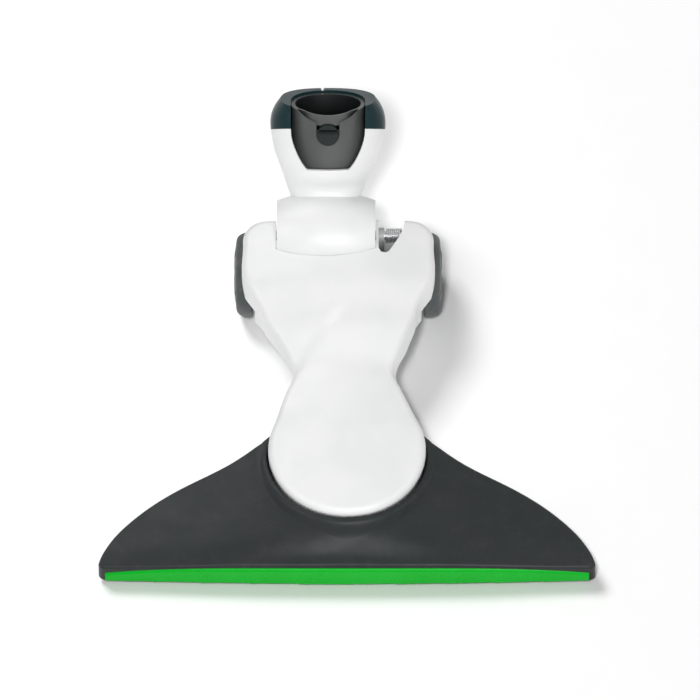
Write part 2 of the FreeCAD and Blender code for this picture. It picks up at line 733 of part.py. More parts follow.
def yoke_height(x, y):
    """Top of the yoke: rises to the rear, crowned across, with a soft slanting crease."""
    ridge = along_table(YOKE_RIDGE, y)
    middle = -5.2 * ease((y - 26.5) / 65.0)
    half = along_table([(-48, 48.0), (12, 48.0), (55, 32.0), (97, 54.0), (166, 58.0)], y)
    drop = along_table([(-48, 1.4), (12, 2.4), (55, 4.2), (97, 4.0), (166, 3.4)], y)
    top = ridge - drop * min(1.6, ((x - middle) / half) ** 2)
    if y < 0:
        top -= 1.2 * (y / 48.0) ** 2
    way = CREASE_END - CREASE_START
    long = way.Length
    way = way / long
    offset = V(x, y, 0) - CREASE_START
    t = (offset.x * way.x + offset.y * way.y) / long
    s = -offset.x * way.y + offset.y * way.x
    fade = (1 - ease((t + 0.05) / 1.05)) * ease((t + 0.5) / 0.5)
    return top - 3.0 * fade * ease((s + 3.0) / 8.0) * math.exp(-max(0.0, s) / 30.0)


def drum_solid(grow, reach=0.0):
    """Crowned drum about the tilt axis; grow widens it, reach lengthens its ends."""
    half = size("drum_wide") / 2 + reach
    centre = size("drum_centre")
    middle = size("drum_radius") + grow
    end = size("drum_end_radius") + grow
    start = V(-half, 0, 0)
    loop = Part.Wire([
        Part.LineSegment(start, V(-half, 0, end)).toShape(),
        Part.Arc(V(-half, 0, end), V(0, 0, middle), V(half, 0, end)).toShape(),
        Part.LineSegment(V(half, 0, end), V(half, 0, 0)).toShape(),
        Part.LineSegment(V(half, 0, 0), start).toShape(),
    ])
    solid = Part.Face(loop).revolve(V(0, 0, 0), V(1, 0, 0), 360)
    solid.translate(V(centre, size("tilt_back"), size("tilt_height")))
    if not solid.Solids:
        solid = Part.Solid(solid)
    return solid


def fork_space(extra, low):
    """Room for drum and neck between the ears: the drum's sweep and the open rear."""
    gap = size("drum_gap") + extra
    half = size("drum_wide") / 2 + gap
    centre = size("drum_centre")
    rear = block(centre - half, centre + half, size("tilt_back"), 230, low, 90)
    return drum_solid(gap, gap).fuse(rear)


def wheel_faces():
    """Outer face and outward direction of each wheel."""
    return [("left", size("wheel_left_face"), -1.0), ("right", size("wheel_right_face"), 1.0)]


def wheel_arch(grow):
    """Both wheel arches as one cutter, widened by grow."""
    parts = []
    for name, face, way in wheel_faces():
        inner = face - way * (size("wheel_wide") + 0.7 + grow)
        radius = size("wheel_radius") + size("arch_gap") + grow
        start = inner
        parts.append(rod(start, size("wheel_back"), size("wheel_radius"), radius, 40,
                         V(way, 0, 0)))
        parts.append(block(min(start, start + way * 40), max(start, start + way * 40),
                           size("wheel_back") - radius, size("wheel_back") + radius,
                           -10, size("wheel_radius")))
    return parts[0].fuse(parts[1:])


def pocket_cutter(grow):
    """Rounded three-sided pocket beside the right ear, open to the rear."""
    left = size("pocket_left") - grow
    right = size("pocket_right") + grow
    rear = size("yoke_rear") + 6
    front = 131.0 - grow
    points = [(left, rear), (left, front + 3.5), (left + 1.6, front + 0.6), (left + 4.0, front),
              (left + 6.4, front + 1.4), (right - 3.6, 142.5), (right - 0.7, 149.5),
              (right, 154.5), (right, rear)]
    return polygon_prism_z(points, size("pocket_floor") - grow, 90)


SCREWS_YOKE = [(-26, 24), (26, 24), (-42, 103), (31, 103)]


def yoke_cover():
    """White upper shell of the yoke."""
    split = size("yoke_split")
    wall = size("yoke_wall")
    top = 68.0
    field = under_field(yoke_height, -72, 62, -54, 172, 6.0, 10)
    outer = largest(yoke_body(0, split, top).common(field))
    outer = rounded(outer, upper_edges(outer, split + 2.0), size("yoke_round"))
    lowered = field.copy()
    lowered.translate(V(0, 0, -wall))
    hollow = largest(yoke_body(wall, split - 5, top).common(lowered))
    housing = fork_space(2.2, 0).fuse(wheel_arch(2.2)).fuse(pocket_cutter(1.8))
    hollow = hollow.cut(housing)
    posts = [rod(x, y, split, 3.6, 40) for x, y in SCREWS_YOKE]
    posts = posts[0].fuse(posts[1:]).common(outer)
    shell = outer.cut(hollow).fuse(posts)
    cutters = [fork_space(0, 0), wheel_arch(0), pocket_cutter(0)]
    for x, y in SCREWS_YOKE:
        cutters.append(rod(x, y, 0, size("screw_radius") + 0.05, split + screw_bite(y) + 0.3))
    cutters.append(duct_solid(FIT))
    cutters.append(rod(-60, size("tilt_back"), size("tilt_height"),
                       size("pin_radius") + 0.02, 100, V(1, 0, 0)))
    return formed("yoke_cover", largest(shell.cut(cutters)))


TUB_LEFT = [(26.5, -19.0), (48.5, -20.0), (66.5, -22.5), (82.5, -29.0), (94.5, -39.0),
            (104.5, -49.0), (112.5, -55.5), (120.5, -60.0), (128.5, -62.2), (136.5, -62.6)]
TUB_RIGHT = [(26.5, 19.0), (48.5, 17.0), (66.5, 18.5), (82.5, 24.0), (94.5, 32.0),
             (104.5, 39.0), (112.5, 44.0), (120.5, 48.5), (128.5, 51.4), (136.5, 52.0)]


def tub_outline(shrink=0.0):
    """Plan of the lower body behind the disc."""
    edges, start_left, start_right = sides_and_rear(
        TUB_LEFT, TUB_RIGHT, size("yoke_rear") - 0.6, 13.4, shrink)
    edges.append(Part.LineSegment(start_left, start_right).toShape())
    return Part.Wire(Part.__sortEdges__(edges))


def tub_keel(raise_by):
    """Side view of the lower body: level below the waist, deeper below the shoulders."""
    disc = size("disc_bottom") + raise_by
    deep = size("tub_bottom") + raise_by
    return polygon_prism_x([(-60, disc), (70, disc), (76, disc - 0.6), (100, deep + 0.6),
                            (106, deep), (190, deep), (190, 80), (-60, 80)], -90, 90)


def yoke_base():
    """White lower shell of the yoke: disc tray, waist keel and rear tub with a top plate."""
    split = size("yoke_split") - 0.05
    thick = size("tub_wall")
    plate_low = split - size("plate_thick")
    gap = size("shadow_gap")
    radius = size("disc_radius") - gap - 0.6
    tray = rod(0, 0, size("disc_bottom"), radius, split - size("disc_bottom"))
    plate = Part.Face(yoke_outline(gap, plate_low)).extrude(V(0, 0, split - plate_low))
    tub = prism(tub_outline(), 0, split).common(tub_keel(0))
    solid = tray.fuse([plate, tub])
    room = rod(0, 0, size("disc_bottom") + thick, radius - thick, 60)
    room = room.fuse(prism(tub_outline(thick), 0, 60).common(tub_keel(thick)))
    housing = fork_space(2.2, 14).fuse(wheel_arch(2.2))
    posts = [rod(face - way * size("wheel_wide"), size("wheel_back"), size("wheel_radius"), 6.2,
                 10.0, V(-way, 0, 0)) for name, face, way in wheel_faces()]
    for x, y in SCREWS_YOKE:
        posts.append(rod(x, y, 0, 4.2, split))
    room = room.cut(housing).cut(posts[0].fuse(posts[1:]))
    solid = solid.cut(room)
    solid = solid.cut(fork_space(0, size("tub_bottom") + thick))
    solid = solid.cut(wheel_arch(0))
    solid = solid.cut(rod(0, 0, 0, size("spigot_radius") + 0.1, 60))
    for x, y in SCREWS_YOKE:
        solid = solid.cut(rod(x, y, 0, size("screw_radius") + 0.05, 60))
        solid = solid.cut(rod(x, y, 0, size("screw_head") + 0.1, screw_seat(y) + 1.3))
    for name, face, way in wheel_faces():
        solid = solid.cut(rod(face - way * (size("wheel_wide") + 9.7), size("wheel_back"),
                              size("wheel_radius"), size("axle_radius") + 0.02, 60, V(way, 0, 0)))
    mouth = duct_solid(FIT)
    solid = solid.cut(mouth)
    return formed("yoke_base", largest(solid.removeSplitter()))


def screw_seat(y):
    """Height at which a yoke screw's head starts."""
    return size("disc_bottom") + 0.6 if y < 60 else size("tub_bottom") + 3.0


def screw_bite(y):
    """How far a yoke screw reaches into the cover above the joint."""
    return 3.2 if y < 60 else 5.0


def duct_section(centre, y, low, high, half, shrink):
    """Rounded section of the air duct at one station."""
    a = half - shrink
    b = (high - low) / 2 - shrink
    middle = (low + high) / 2
    points = []
    for i in range(16):
        angle = 2 * math.pi * i / 16
        c = math.cos(angle)
        s = math.sin(angle)
        x = centre + a * math.copysign(abs(c) ** 0.6, c)
        z = middle + b * math.copysign(abs(s) ** 0.6, s)
        points.append(V(x, y, z))
    curve = Part.BSplineCurve()
    curve.interpolate(points, PeriodicFlag=True)
    return Part.Wire([curve.toShape()])


DUCT_STATIONS = [(0, 8, 28.0, 36.8, 15), (-1, 33, 28.0, 37.4, 15), (-3, 58, 26.4, 39.0, 13.6),
                 (-8, 84, 24.0, 42.0, 16), (-12.8, 108, 19.5, 43.0, 20),
                 (-12.8, 137.5, 18.2, 43.0, 21)]


def duct_solid(grow):
    """Outer solid of the yoke duct, from the cap above the spigot to the drum."""
    wires = [duct_section(*station, -grow) for station in DUCT_STATIONS]
    run = Part.makeLoft(wires, True, False)
    foot = size("disc_bottom") + size("tub_wall") + size("flange_thick") + 0.1
    cap = rod(0, 0, foot - grow, 23 + grow, 36.6 - foot + 2 * grow)
    return run.fuse(cap).cut(drum_solid(size("drum_gap") + 1.2 - grow))


def yoke_duct():
    """Air duct through the waist of the yoke."""
    outer = duct_solid(0)
    wires = [duct_section(*station, 1.6) for station in DUCT_STATIONS]
    wires[0].translate(V(0, -2.0, 0))
    wires[-1].translate(V(0, 4.0, 0))
    space = Part.makeLoft(wires, True, False)
    foot = size("disc_bottom") + size("tub_wall") + size("flange_thick")
    space = space.fuse(rod(0, 0, foot - 1, 21, 35.0 - foot + 1))
    return formed("yoke_duct", largest(outer.cut(space)))


def yoke_screws():
    """Screws that close the yoke from below."""
    solids = [screw(x, y, screw_seat(y), V(0, 0, 1),
                    size("yoke_split") + screw_bite(y) - screw_seat(y))
              for x, y in SCREWS_YOKE]
    return formed("yoke_screws", Part.makeCompound(solids))


def hinge_parts():
    """Pins of the tilt drum, the barrel and spring in the pocket, and the stop block."""
    made = []
    up = "Sizes.tilt_height"
    back = "Sizes.tilt_back"
    long = "(Sizes.pocket_right - Sizes.drum_centre - Sizes.drum_wide / 2 + 7.9)"
    for label, reach, start, way in (
            ("hinge_pin_left", "15", "Sizes.drum_centre - Sizes.drum_wide / 2 - 9", TO_RIGHT),
            ("hinge_pin_right", long, "Sizes.pocket_right + 1.9", TO_LEFT)):
        corners = [("0", "0"), ("Sizes.pin_radius - 0.5", "0"), ("Sizes.pin_radius", "0.5"),
                   ("Sizes.pin_radius", reach + " - 1"), ("Sizes.pin_radius - 1", reach),
                   ("0", reach)]
        made.append(turned(label, corners, start, back, up, way))
    left = size("pocket_left")
    barrel = tube(left + 0.1, size("tilt_back"), size("tilt_height"), size("pin_radius") + 1.8,
                  size("pin_radius") + 0.02, 3.4, V(1, 0, 0))
    rest = block(left + 0.1, left + 3.5, size("tilt_back") - 4.6, size("tilt_back") + 4.6,
                 size("pocket_floor") + 0.1, size("tilt_height") - 1.0)
    barrel = barrel.fuse(rest).cut(rod(left, size("tilt_back"), size("tilt_height"),
                                       size("pin_radius") + 0.02, 9, V(1, 0, 0)))
    made.append(formed("hinge_barrel", largest(barrel)))
    inside = "Sizes.pin_radius + 0.3"
    coils = [(inside, "0")]
    for turn in range(8):
        start = 1.3 * turn
        for step, out in ((0.0, 1.1), (0.3, 1.6), (1.0, 1.6)):
            coils.append(("Sizes.pin_radius + %s" % out, "%.1f" % (start + step)))
    coils += [("Sizes.pin_radius + 1.1", "10.4"), (inside, "10.4")]
    made.append(turned("tilt_spring", coils, "Sizes.pocket_left + 3.9", back, up, TO_RIGHT))
    made.append(formed("tilt_stop", block(left + 0.1, left + 6.5, size("tilt_back") - 12.3,
                                          size("tilt_back") - 8.7,
                                          size("pocket_floor") + 0.1, 46.0)))
    return made


# ---------------------------------------------------------------- wheels

def wheel_parts():
    """Tyre, hub, cap and axle of each rear wheel."""
    made = []
    rim = "Sizes.wheel_radius - Sizes.tyre_thick"
    wide = "Sizes.wheel_wide"
    outer = "Sizes.wheel_radius"
    bore = "Sizes.axle_radius + Sizes.running_gap"
    for side, face, turn in (("left", "Sizes.wheel_left_face", TO_LEFT),
                             ("right", "Sizes.wheel_right_face", TO_RIGHT)):
        inward = "%s %s Sizes.wheel_wide" % (face, "+" if side == "left" else "-")
        spot = (inward, "Sizes.wheel_back", "Sizes.wheel_radius", turn)
        made.append(turned("wheel_tyre_" + side, [
            (rim, "0.6"), (outer + " - 1.6", "0.6"), (outer, "2.2"), (outer, "3.4"),
            (outer + " - 0.7", "3.7"), (outer + " - 0.7", "4.3"), (outer, "4.6"),
            (outer + " - 0.3", "6.0"), (outer + " - 1.1", "7.6"), (outer + " - 2.2", "9.1"),
            (outer + " - 3.6", wide + " - 1.7"), (rim, wide + " - 1.2")], *spot))
        made.append(turned("wheel_hub_" + side, [
            (bore, "0"), ("7", "0"), ("7", "3"), (rim + " - 3", "3"), (rim + " - 3", "0.6"),
            (rim + " - 0.02", "0.6"), (rim + " - 0.02", wide + " - 1.2"),
            (rim + " - 3", wide + " - 0.5"), ("11", wide + " - 0.1"), ("8.1", wide + " - 0.1"),
            ("8.1", wide + " - 2.2"), (bore, wide + " - 2.2")], *spot))
        made.append(turned("wheel_cap_" + side, [
            ("0", wide + " - 0.95"), ("7.0", wide + " - 0.95"), ("7.0", wide + " - 2.15"),
            ("8.0", wide + " - 2.15"), ("8.0", wide + " - 0.2"), ("6.5", wide + " - 0.05"),
            ("0", wide)], *spot))
        made.append(turned("wheel_axle_" + side, [
            ("0", "-9.6"), ("Sizes.axle_radius - 0.6", "-9.6"), ("Sizes.axle_radius", "-9"),
            ("Sizes.axle_radius", wide + " - 2.1"), ("5", wide + " - 2.1"),
            ("5", wide + " - 1.1"), ("0", wide + " - 1.1")], *spot))
    return made


# ---------------------------------------------------------------- neck

def along(slope_name):
    """Unit direction of one leg of the neck."""
    angle = math.radians(size(slope_name))
    return V(0, math.cos(angle), math.sin(angle))


LOW_AXIS = along("neck_slope")
TOP_AXIS = along("socket_slope")
REARWARD = V(0, TOP_AXIS.z, -TOP_AXIS.y)
PIVOT = V(0, size("tilt_back"), size("tilt_height"))
BEND = PIVOT + LOW_AXIS * size("neck_reach")
NECK_X = size("drum_centre")
HEAD_X = NECK_X + size("head_shift")


def oval(centre, axis, half_wide, half_deep, power, count=20):
    """Closed rounded section square to an axis that lies in the YZ plane."""
    deep = V(0, axis.z, -axis.y)
    points = []
    for i in range(count):
        angle = 2 * math.pi * (i + 0.5) / count
        c = math.cos(angle)
        s = math.sin(angle)
        a = half_wide * math.copysign(abs(c) ** power, c)
        b = half_deep * math.copysign(abs(s) ** power, s)
        points.append(centre + V(a, 0, 0) + deep * b)
    curve = Part.BSplineCurve()
    curve.interpolate(points, PeriodicFlag=True)
    return Part.Wire([curve.toShape()])


def neck_sections(shrink):
    """Sections of the neck from inside the drum up to the top of the hood."""
    middle = (LOW_AXIS + TOP_AXIS).normalize()
    shift = V(NECK_X, 0, 0)
    low = [(15.0, 21.0, 13.5), (24.5, 21.6, 14.8)]
    top = [(11.0, 28.2, 22.2, -1.4), (21.0, 32.2, 23.2, 0.2), (31.0, 34.5, 23.2, 2.2),
           (38.0, 35.0, 22.9, 3.4), (45.0, 33.4, 22.0, 3.8), (52.0, 28.8, 19.8, 4.2)]
    wires = []
    for distance, wide, deep in low:
        centre = PIVOT + LOW_AXIS * distance + shift
        wires.append(oval(centre, LOW_AXIS, wide - shrink, deep - shrink, 0.78))
    wires.append(oval(BEND + shift, middle, 24.6 - shrink, 19.0 - shrink, 0.8))
    for distance, wide, deep, offset in top:
        shift = V(NECK_X + size("head_shift") * min(1.0, distance / 31.0), 0, 0)
        centre = BEND + TOP_AXIS * distance + REARWARD * offset + shift
        wires.append(oval(centre, TOP_AXIS, wide - shrink, deep - shrink, 0.82))
    return wires


def neck_form(shrink):
    """Whole outer or inner form of neck and hood as one solid."""
    return Part.makeLoft(neck_sections(shrink), True, False)


def above_plane(distance, lean=0.0, far=90.0):
    """Half space above a plane across the socket axis; lean drops its rear, in degrees."""
    centre = BEND + TOP_AXIS * distance + V(HEAD_X, 0, 0)
    angle = math.radians(lean)
    up = TOP_AXIS * math.cos(angle) + REARWARD * math.sin(angle)
    plate = Part.makePlane(240, 240, V(-120, -120, 0), V(0, 0, 1))
    plate.Placement = FreeCAD.Placement(centre, FreeCAD.Rotation(V(0, 0, 1), up))
    return plate.extrude(up * far)


def rear_half(grow):
    """Everything behind the split of the two neck shells."""
    low = PIVOT + V(0, LOW_AXIS.z, -LOW_AXIS.y) * (3.0 - grow)
    bend = BEND + V(0, LOW_AXIS.z, -LOW_AXIS.y) * (5.0 - grow)
    top = BEND + TOP_AXIS * 90 + REARWARD * (9.0 - grow)
    back = LOW_AXIS * -40
    corners = [(low + back).y, (low + back).z], [bend.y, bend.z], [top.y, top.z], \
        [top.y + 120, top.z - 40], [bend.y + 60, bend.z - 140], [low.y - 40, low.z - 120]
    return polygon_prism_x([tuple(c) for c in corners], -120, 120)


def socket_form(grow, low, high):
    """Oval socket solid between two distances from the bend."""
    shift = V(HEAD_X, 0, 0)
    wide = size("socket_half_wide") + grow
    deep = size("socket_half_deep") + grow
    wires = [oval(BEND + TOP_AXIS * d + shift, TOP_AXIS, wide, deep, 0.93, 24)
             for d in (low, high)]
    return Part.makeLoft(wires, True, True)


def socket_front(low, high, half, deep_in, deep_out):
    """Block at the front of the socket, given along and out from its axis."""
    origin = BEND + TOP_AXIS * low + V(HEAD_X, 0, 0)
    corners = [origin + V(-half, 0, 0) - REARWARD * deep_out,
               origin + V(half, 0, 0) - REARWARD * deep_out,
               origin + V(half, 0, 0) - REARWARD * deep_in,
               origin + V(-half, 0, 0) - REARWARD * deep_in]
    face = Part.Face(Part.makePolygon(corners + [corners[0]]))
    return face.extrude(TOP_AXIS * (high - low))


def notch_form(grow, high):
    """Round-bottomed notch down the front of the socket from the height given."""
    half = size("notch_wide") / 2 + grow
    low = size("notch_low") - grow
    middle = low + half
    run = socket_front(middle, high, half, 10, 30)
    start = BEND + TOP_AXIS * middle + V(HEAD_X, 0, 0) - REARWARD * 10
    end = Part.makeCylinder(half, 20, start, REARWARD * -1)
    return run.fuse(end)


def tilt_drum():
    """White crowned drum with windows for the duct and the neck."""
    wall = size("drum_wall")
    outer = drum_solid(0)
    inner = drum_solid(-wall, -4.0)
    body = outer.cut(inner)
    body = body.cut(neck_form(-0.1))
    centre = PIVOT + V(NECK_X, 0, 0)
    window = []
    for degrees in (196, 218, 241, 264, 286):
        angle = math.radians(degrees)
        window.append((centre.y + 44 * math.cos(angle), centre.z + 44 * math.sin(angle)))
    window.append((centre.y, centre.z))
    body = body.cut(polygon_prism_x(window, NECK_X - 21, NECK_X + 21))
    bore = rod(NECK_X - 50, centre.y, centre.z, size("pin_radius") + size("running_gap"), 100,
               V(1, 0, 0))
    for side in (-1, 1):
        face = NECK_X + side * (size("drum_wide") / 2 - 4.2)
        boss = rod(face, centre.y, centre.z, 8.0, 3.0, V(-side, 0, 0))
        body = body.fuse(boss)
    return formed("tilt_drum", largest(body.cut(bore).removeSplitter()))


def neck_shells():
    """White front and rear shells of the neck below the hood."""
    outer = neck_form(0)
    inner = neck_form(size("neck_wall"))
    shell = outer.cut(inner)
    shell = shell.cut(above_plane(size("hood_start") - FIT / 2, size("hood_lean")))
    shell = shell.cut(drum_solid(-size("drum_wall"), -4.0))
    ring = socket_form(FIT, size("socket_start") - FIT, 60)
    front = shell.cut(rear_half(0)).cut(ring)
    low = BEND + TOP_AXIS * 15.2 + V(HEAD_X, 0, 0)
    flank = [(12.2, 0.0), (13.2, 0.5), (15.9, 3.9), (18.3, 8.1), (20.0, 11.8), (21.4, 15.6),
             (22.3, 19.5), (22.6, 24.0), (22.6, 60.0)]
    window = [low + V(x, 0, 0) + TOP_AXIS * t for x, t in flank]
    window += [low + V(-x, 0, 0) + TOP_AXIS * t for x, t in reversed(flank)]
    face = Part.Face(Part.makePolygon(window + [window[0]]))
    front = front.cut(face.extrude(REARWARD * -40))
    rear = shell.common(rear_half(-FIT))
    rear = rear.cut(ring)
    posts = []
    holes = []
    for x, distance in NECK_SCREWS:
        foot = BEND + TOP_AXIS * distance + REARWARD * 40 + V(HEAD_X + x, 0, 0)
        posts.append(Part.makeCylinder(3.4, 34.0, foot, REARWARD * -1))
        holes.append(Part.makeCylinder(size("screw_radius") + 0.05, 40, foot, REARWARD * -1))
        holes.append(Part.makeCylinder(size("screw_head") + 0.1,
                                       40 - screw_depth(distance) + 1.3, foot, REARWARD * -1))
    posts = posts[0].fuse(posts[1:]).common(inner.fuse(outer)).cut(socket_form(1.0, 0, 60))
    front = front.fuse(posts.cut(rear_half(0)))
    rear = rear.fuse(posts.common(rear_half(-FIT)))
    for hole in holes:
        front = front.cut(hole)
        rear = rear.cut(hole)
    return [formed("neck_front_shell", largest(front)),
            formed("neck_rear_shell", largest(rear))]


NECK_SCREWS = [(-24.3, 11.0), (24.3, 11.0), (-26.3, 22.0), (26.3, 22.0)]


def screw_depth(distance):
    """How far behind the socket axis a neck screw's head starts."""
    return 10.8 if distance < 20 else 14.2


def neck_screws():
    """Screws that close the neck from the rear."""
    solids = []
    for x, distance in NECK_SCREWS:
        head = BEND + TOP_AXIS * distance + REARWARD * screw_depth(distance)
        solids.append(screw(HEAD_X + x, head.y, head.z, REARWARD * -1, 8.6))
    return formed("neck_screws", Part.makeCompound(solids))


def hood():
    """Dark hood round the upper end of the socket."""
    lean = size("hood_lean")
    outer = neck_form(0).common(above_plane(size("hood_start") + FIT / 2, lean))
    inner = neck_form(size("neck_wall")).common(above_plane(size("hood_start") - 5, lean))
    inner = inner.cut(above_plane(size("hood_end") - 2.4))
    body = outer.cut(inner).cut(socket_form(FIT, 0, 70))
    body = body.cut(socket_front(24, 70, size("socket_half_wide") + FIT, 0, 60))
    rim = BEND + TOP_AXIS * (size("hood_end") - 2.0) + REARWARD * 15 + V(HEAD_X - 3.4, 0, 0)
    nick = Part.Face(Part.makePolygon([rim, rim + V(-2.2, 0, 0) + TOP_AXIS * 4,
                                       rim + V(2.2, 0, 0) + TOP_AXIS * 4, rim]))
    return formed("hood", largest(body.cut(nick.extrude(REARWARD * 20))))


def socket_parts():
    """Oval tube socket with its notch, seal and liner."""
    mouth = size("socket_reach")
    start = size("socket_start")
    wall = size("socket_wall")
    body = socket_form(0, start, mouth)
    body = body.cut(socket_form(-wall, start - 1, mouth + 1))
    stop = socket_form(-0.2, start, start + 2.0)
    stop = stop.cut(socket_form(-wall - 2.2, start - 1, start + 3))
    body = body.fuse(stop)
    cutters = []
    for radius, depth in ((29.0, 6.7), (60.0, 1.8)):
        dip_at = BEND + TOP_AXIS * (mouth + radius - depth) + V(HEAD_X, 0, 0)
        cutters.append(Part.makeCylinder(radius, 40, dip_at - REARWARD * 8, REARWARD * -1))
    liner = socket_form(-size("socket_skin"), start - 1, mouth + 1)
    cutters[0] = cutters[0].fuse(notch_form(0, 60)).cut(liner)
    body = body.cut(cutters).cut(notch_form(0, mouth - 8.1))
    seal = socket_form(-wall - 0.05, start + 2.1, start + 6.0)
    seal = seal.cut(socket_form(-wall - 1.3, start + 1, start + 8))
    return [formed("socket", largest(body.removeSplitter())), formed("socket_seal", seal)]


def neck_duct():
    """Funnel inside the neck that leads the air from the drum to the socket."""
    shift = V(NECK_X, 0, 0)
    middle = (LOW_AXIS + TOP_AXIS).normalize()

    def funnel(thin, more):
        wires = [
            oval(PIVOT + LOW_AXIS * (18 - more) + shift, LOW_AXIS, 17.0 - thin, 10.0 - thin, 0.8),
            oval(BEND + LOW_AXIS * -4 + shift, LOW_AXIS, 17.8 - thin, 11.4 - thin, 0.85),
            oval(BEND + middle * 0.5 + shift, middle, 18.2 - thin, 12.6 - thin, 0.88),
            oval(BEND + TOP_AXIS * (5.6 + more) + V(HEAD_X, 0, 0), TOP_AXIS, 19.0 - thin,
                 15.4 - thin, 0.93),
        ]
        return Part.makeLoft(wires, True, False)

    return formed("neck_duct", largest(funnel(0, 0).cut(funnel(1.4, 1.0))))


def latch_parts():
    """Latch button in the notch and the leaf spring behind it."""
    half = size("notch_wide") / 2 - 0.35
    low = size("notch_low") + 0.35
    middle = low + half
    wall_in = size("socket_half_deep") - size("socket_wall")
    high = size("socket_reach") - 11.2
    run = socket_front(middle, high, half, wall_in - 0.1, 20.4)
    start = BEND + TOP_AXIS * middle + V(HEAD_X, 0, 0) - REARWARD * (wall_in - 0.1)
    end = Part.makeCylinder(half, 20.4 - wall_in + 0.1, start, REARWARD * -1)
    button = run.fuse(end).removeSplitter()
    brow = BEND + TOP_AXIS * high + V(HEAD_X - half - 1, 0, 0) - REARWARD * 20.5
    slope = Part.Face(Part.makePolygon([brow + TOP_AXIS * 1, brow + TOP_AXIS * -1.9,
                                        brow + REARWARD * 2.2 + TOP_AXIS * 1,
                                        brow + TOP_AXIS * 1]))
    button = button.cut(slope.extrude(V(2 * half + 2, 0, 0)))
    leaf = socket_front(size("notch_low") - 9.0, size("notch_low") + 9.0, 2.4,
                        wall_in - 0.9, wall_in - 0.25)
    return [formed("latch_button", largest(button)), formed("latch_spring", leaf)]


# ---------------------------------------------------------------- build and export

base_cover()
sole_plate()
front_bumper()
bristle_strip("bristle_strip_front", "Sizes.slot_front + Sizes.strip_wide / 2 + 1.6")
bristle_strip("bristle_strip_rear", "Sizes.slot_rear - Sizes.strip_wide / 2 - 1.6")
channel_lid()
swivel_bearing()
sole_rollers()
glide_pads()
base_screws()
swivel_parts()
yoke_cover()
yoke_base()
yoke_duct()
yoke_screws()
hinge_parts()
wheel_parts()
tilt_drum()
neck_shells()
neck_screws()
hood()
socket_parts()
neck_duct()
latch_parts()

DOC.recompute()
os.makedirs("parts", exist_ok=True)
for piece in PIECES:
    bad = [word for word in piece.State if word in ("Invalid", "Error")]
    shape = piece.Shape
    if bad or shape.isNull() or not shape.isValid():
        raise RuntimeError("piece %s is not sound: %s" % (piece.Label, piece.State))
    shape.exportStep("parts/%s.step" % piece.Label)
print(len(PIECES), "pieces written")
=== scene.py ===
import json
import math
import random

import bpy
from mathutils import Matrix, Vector


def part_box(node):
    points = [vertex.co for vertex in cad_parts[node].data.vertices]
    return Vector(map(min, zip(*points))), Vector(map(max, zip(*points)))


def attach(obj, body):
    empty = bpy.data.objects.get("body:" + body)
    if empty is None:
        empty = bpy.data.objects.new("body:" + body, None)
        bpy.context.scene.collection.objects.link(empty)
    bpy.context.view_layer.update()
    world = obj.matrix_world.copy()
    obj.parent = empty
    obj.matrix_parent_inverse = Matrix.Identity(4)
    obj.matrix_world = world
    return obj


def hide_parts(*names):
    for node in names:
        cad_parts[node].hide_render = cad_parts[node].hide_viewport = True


bl_info = {
    "name": "Vacuum Floor Head",
    "version": (1, 0, 0),
    "blender": (4, 5, 0),
    "location": "3D View > Sidebar > Floor Head",
    "description": "Finishes and fine parts for a swivelling hard-floor head",
    "category": "Object",
}

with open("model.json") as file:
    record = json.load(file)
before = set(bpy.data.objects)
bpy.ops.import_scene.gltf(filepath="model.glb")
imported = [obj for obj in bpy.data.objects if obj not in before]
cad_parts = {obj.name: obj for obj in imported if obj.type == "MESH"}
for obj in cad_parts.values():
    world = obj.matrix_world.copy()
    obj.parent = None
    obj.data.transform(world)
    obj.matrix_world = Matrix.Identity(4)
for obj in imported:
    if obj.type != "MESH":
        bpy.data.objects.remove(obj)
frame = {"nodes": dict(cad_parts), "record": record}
NODES = frame["nodes"]

# Oval of the socket's bore that bounds its painted shade: half depth over half width, and the
# power of its outline.
BORE_RATIO = 0.85
OVAL_POWER = 2.15
# Where the painted shade ends on the bore, and starts and ends on the liner's bared side.
BORE_EDGE = (0.995, 1.02)
LINER_START = (1.098, 1.104)
LINER_END = (1.128, 1.134)

# Rear wheels, in metres: tread at its thin outer edge, and play between tread and hub.
TREAD_THIN = 0.0009
HUB_PLAY = 0.00005

# Share of the world's light that reaches every ray; the rest is for rays that see it.
WORLD_BASE = 0.14
SENSOR_WIDTH = 36.0

# Lamps: name, direction from the head, distance, size, power, and whether the floor is
# all they light or all they leave out.
LAMPS = (
    ("Front box", (0.12, -0.70, 0.70), 1.5, (0.9, 0.7), 14.2, "EXCLUDE"),
    ("Left box", (-0.66, -0.25, 0.70), 1.5, (0.6, 0.6), 3.4, "EXCLUDE"),
    ("Right box", (0.66, -0.10, 0.70), 1.5, (0.6, 0.6), 1.8, "EXCLUDE"),
    ("Back box", (-0.30, 0.55, 0.77), 1.5, (0.6, 0.6), 4.5, "EXCLUDE"),
    ("Floor box behind", (-0.36, 0.40, 0.84), 3.0, (1.1, 1.1), 67.0, "INCLUDE"),
    ("Floor box beside", (-0.07, -0.54, 0.84), 3.0, (0.3, 0.3), 45.0, "INCLUDE"),
    ("Under box", (0.0, -0.25, -0.97), 1.5, (1.0, 1.0), 5.0, "EXCLUDE"),
)


# ---------------------------------------------------------------- small helpers

def shade(red, green, blue):
    """Linear colour from the 0-255 values of a swatch."""
    result = []
    for part in (red, green, blue):
        c = part / 255.0
        result.append(c / 12.92 if c <= 0.04045 else ((c + 0.055) / 1.055) ** 2.4)
    return tuple(result)


def clear_selection():
    """Leave edit mode and select nothing."""
    if bpy.context.object and bpy.context.object.mode != "OBJECT":
        bpy.ops.object.mode_set(mode="OBJECT")
    bpy.ops.object.select_all(action="DESELECT")


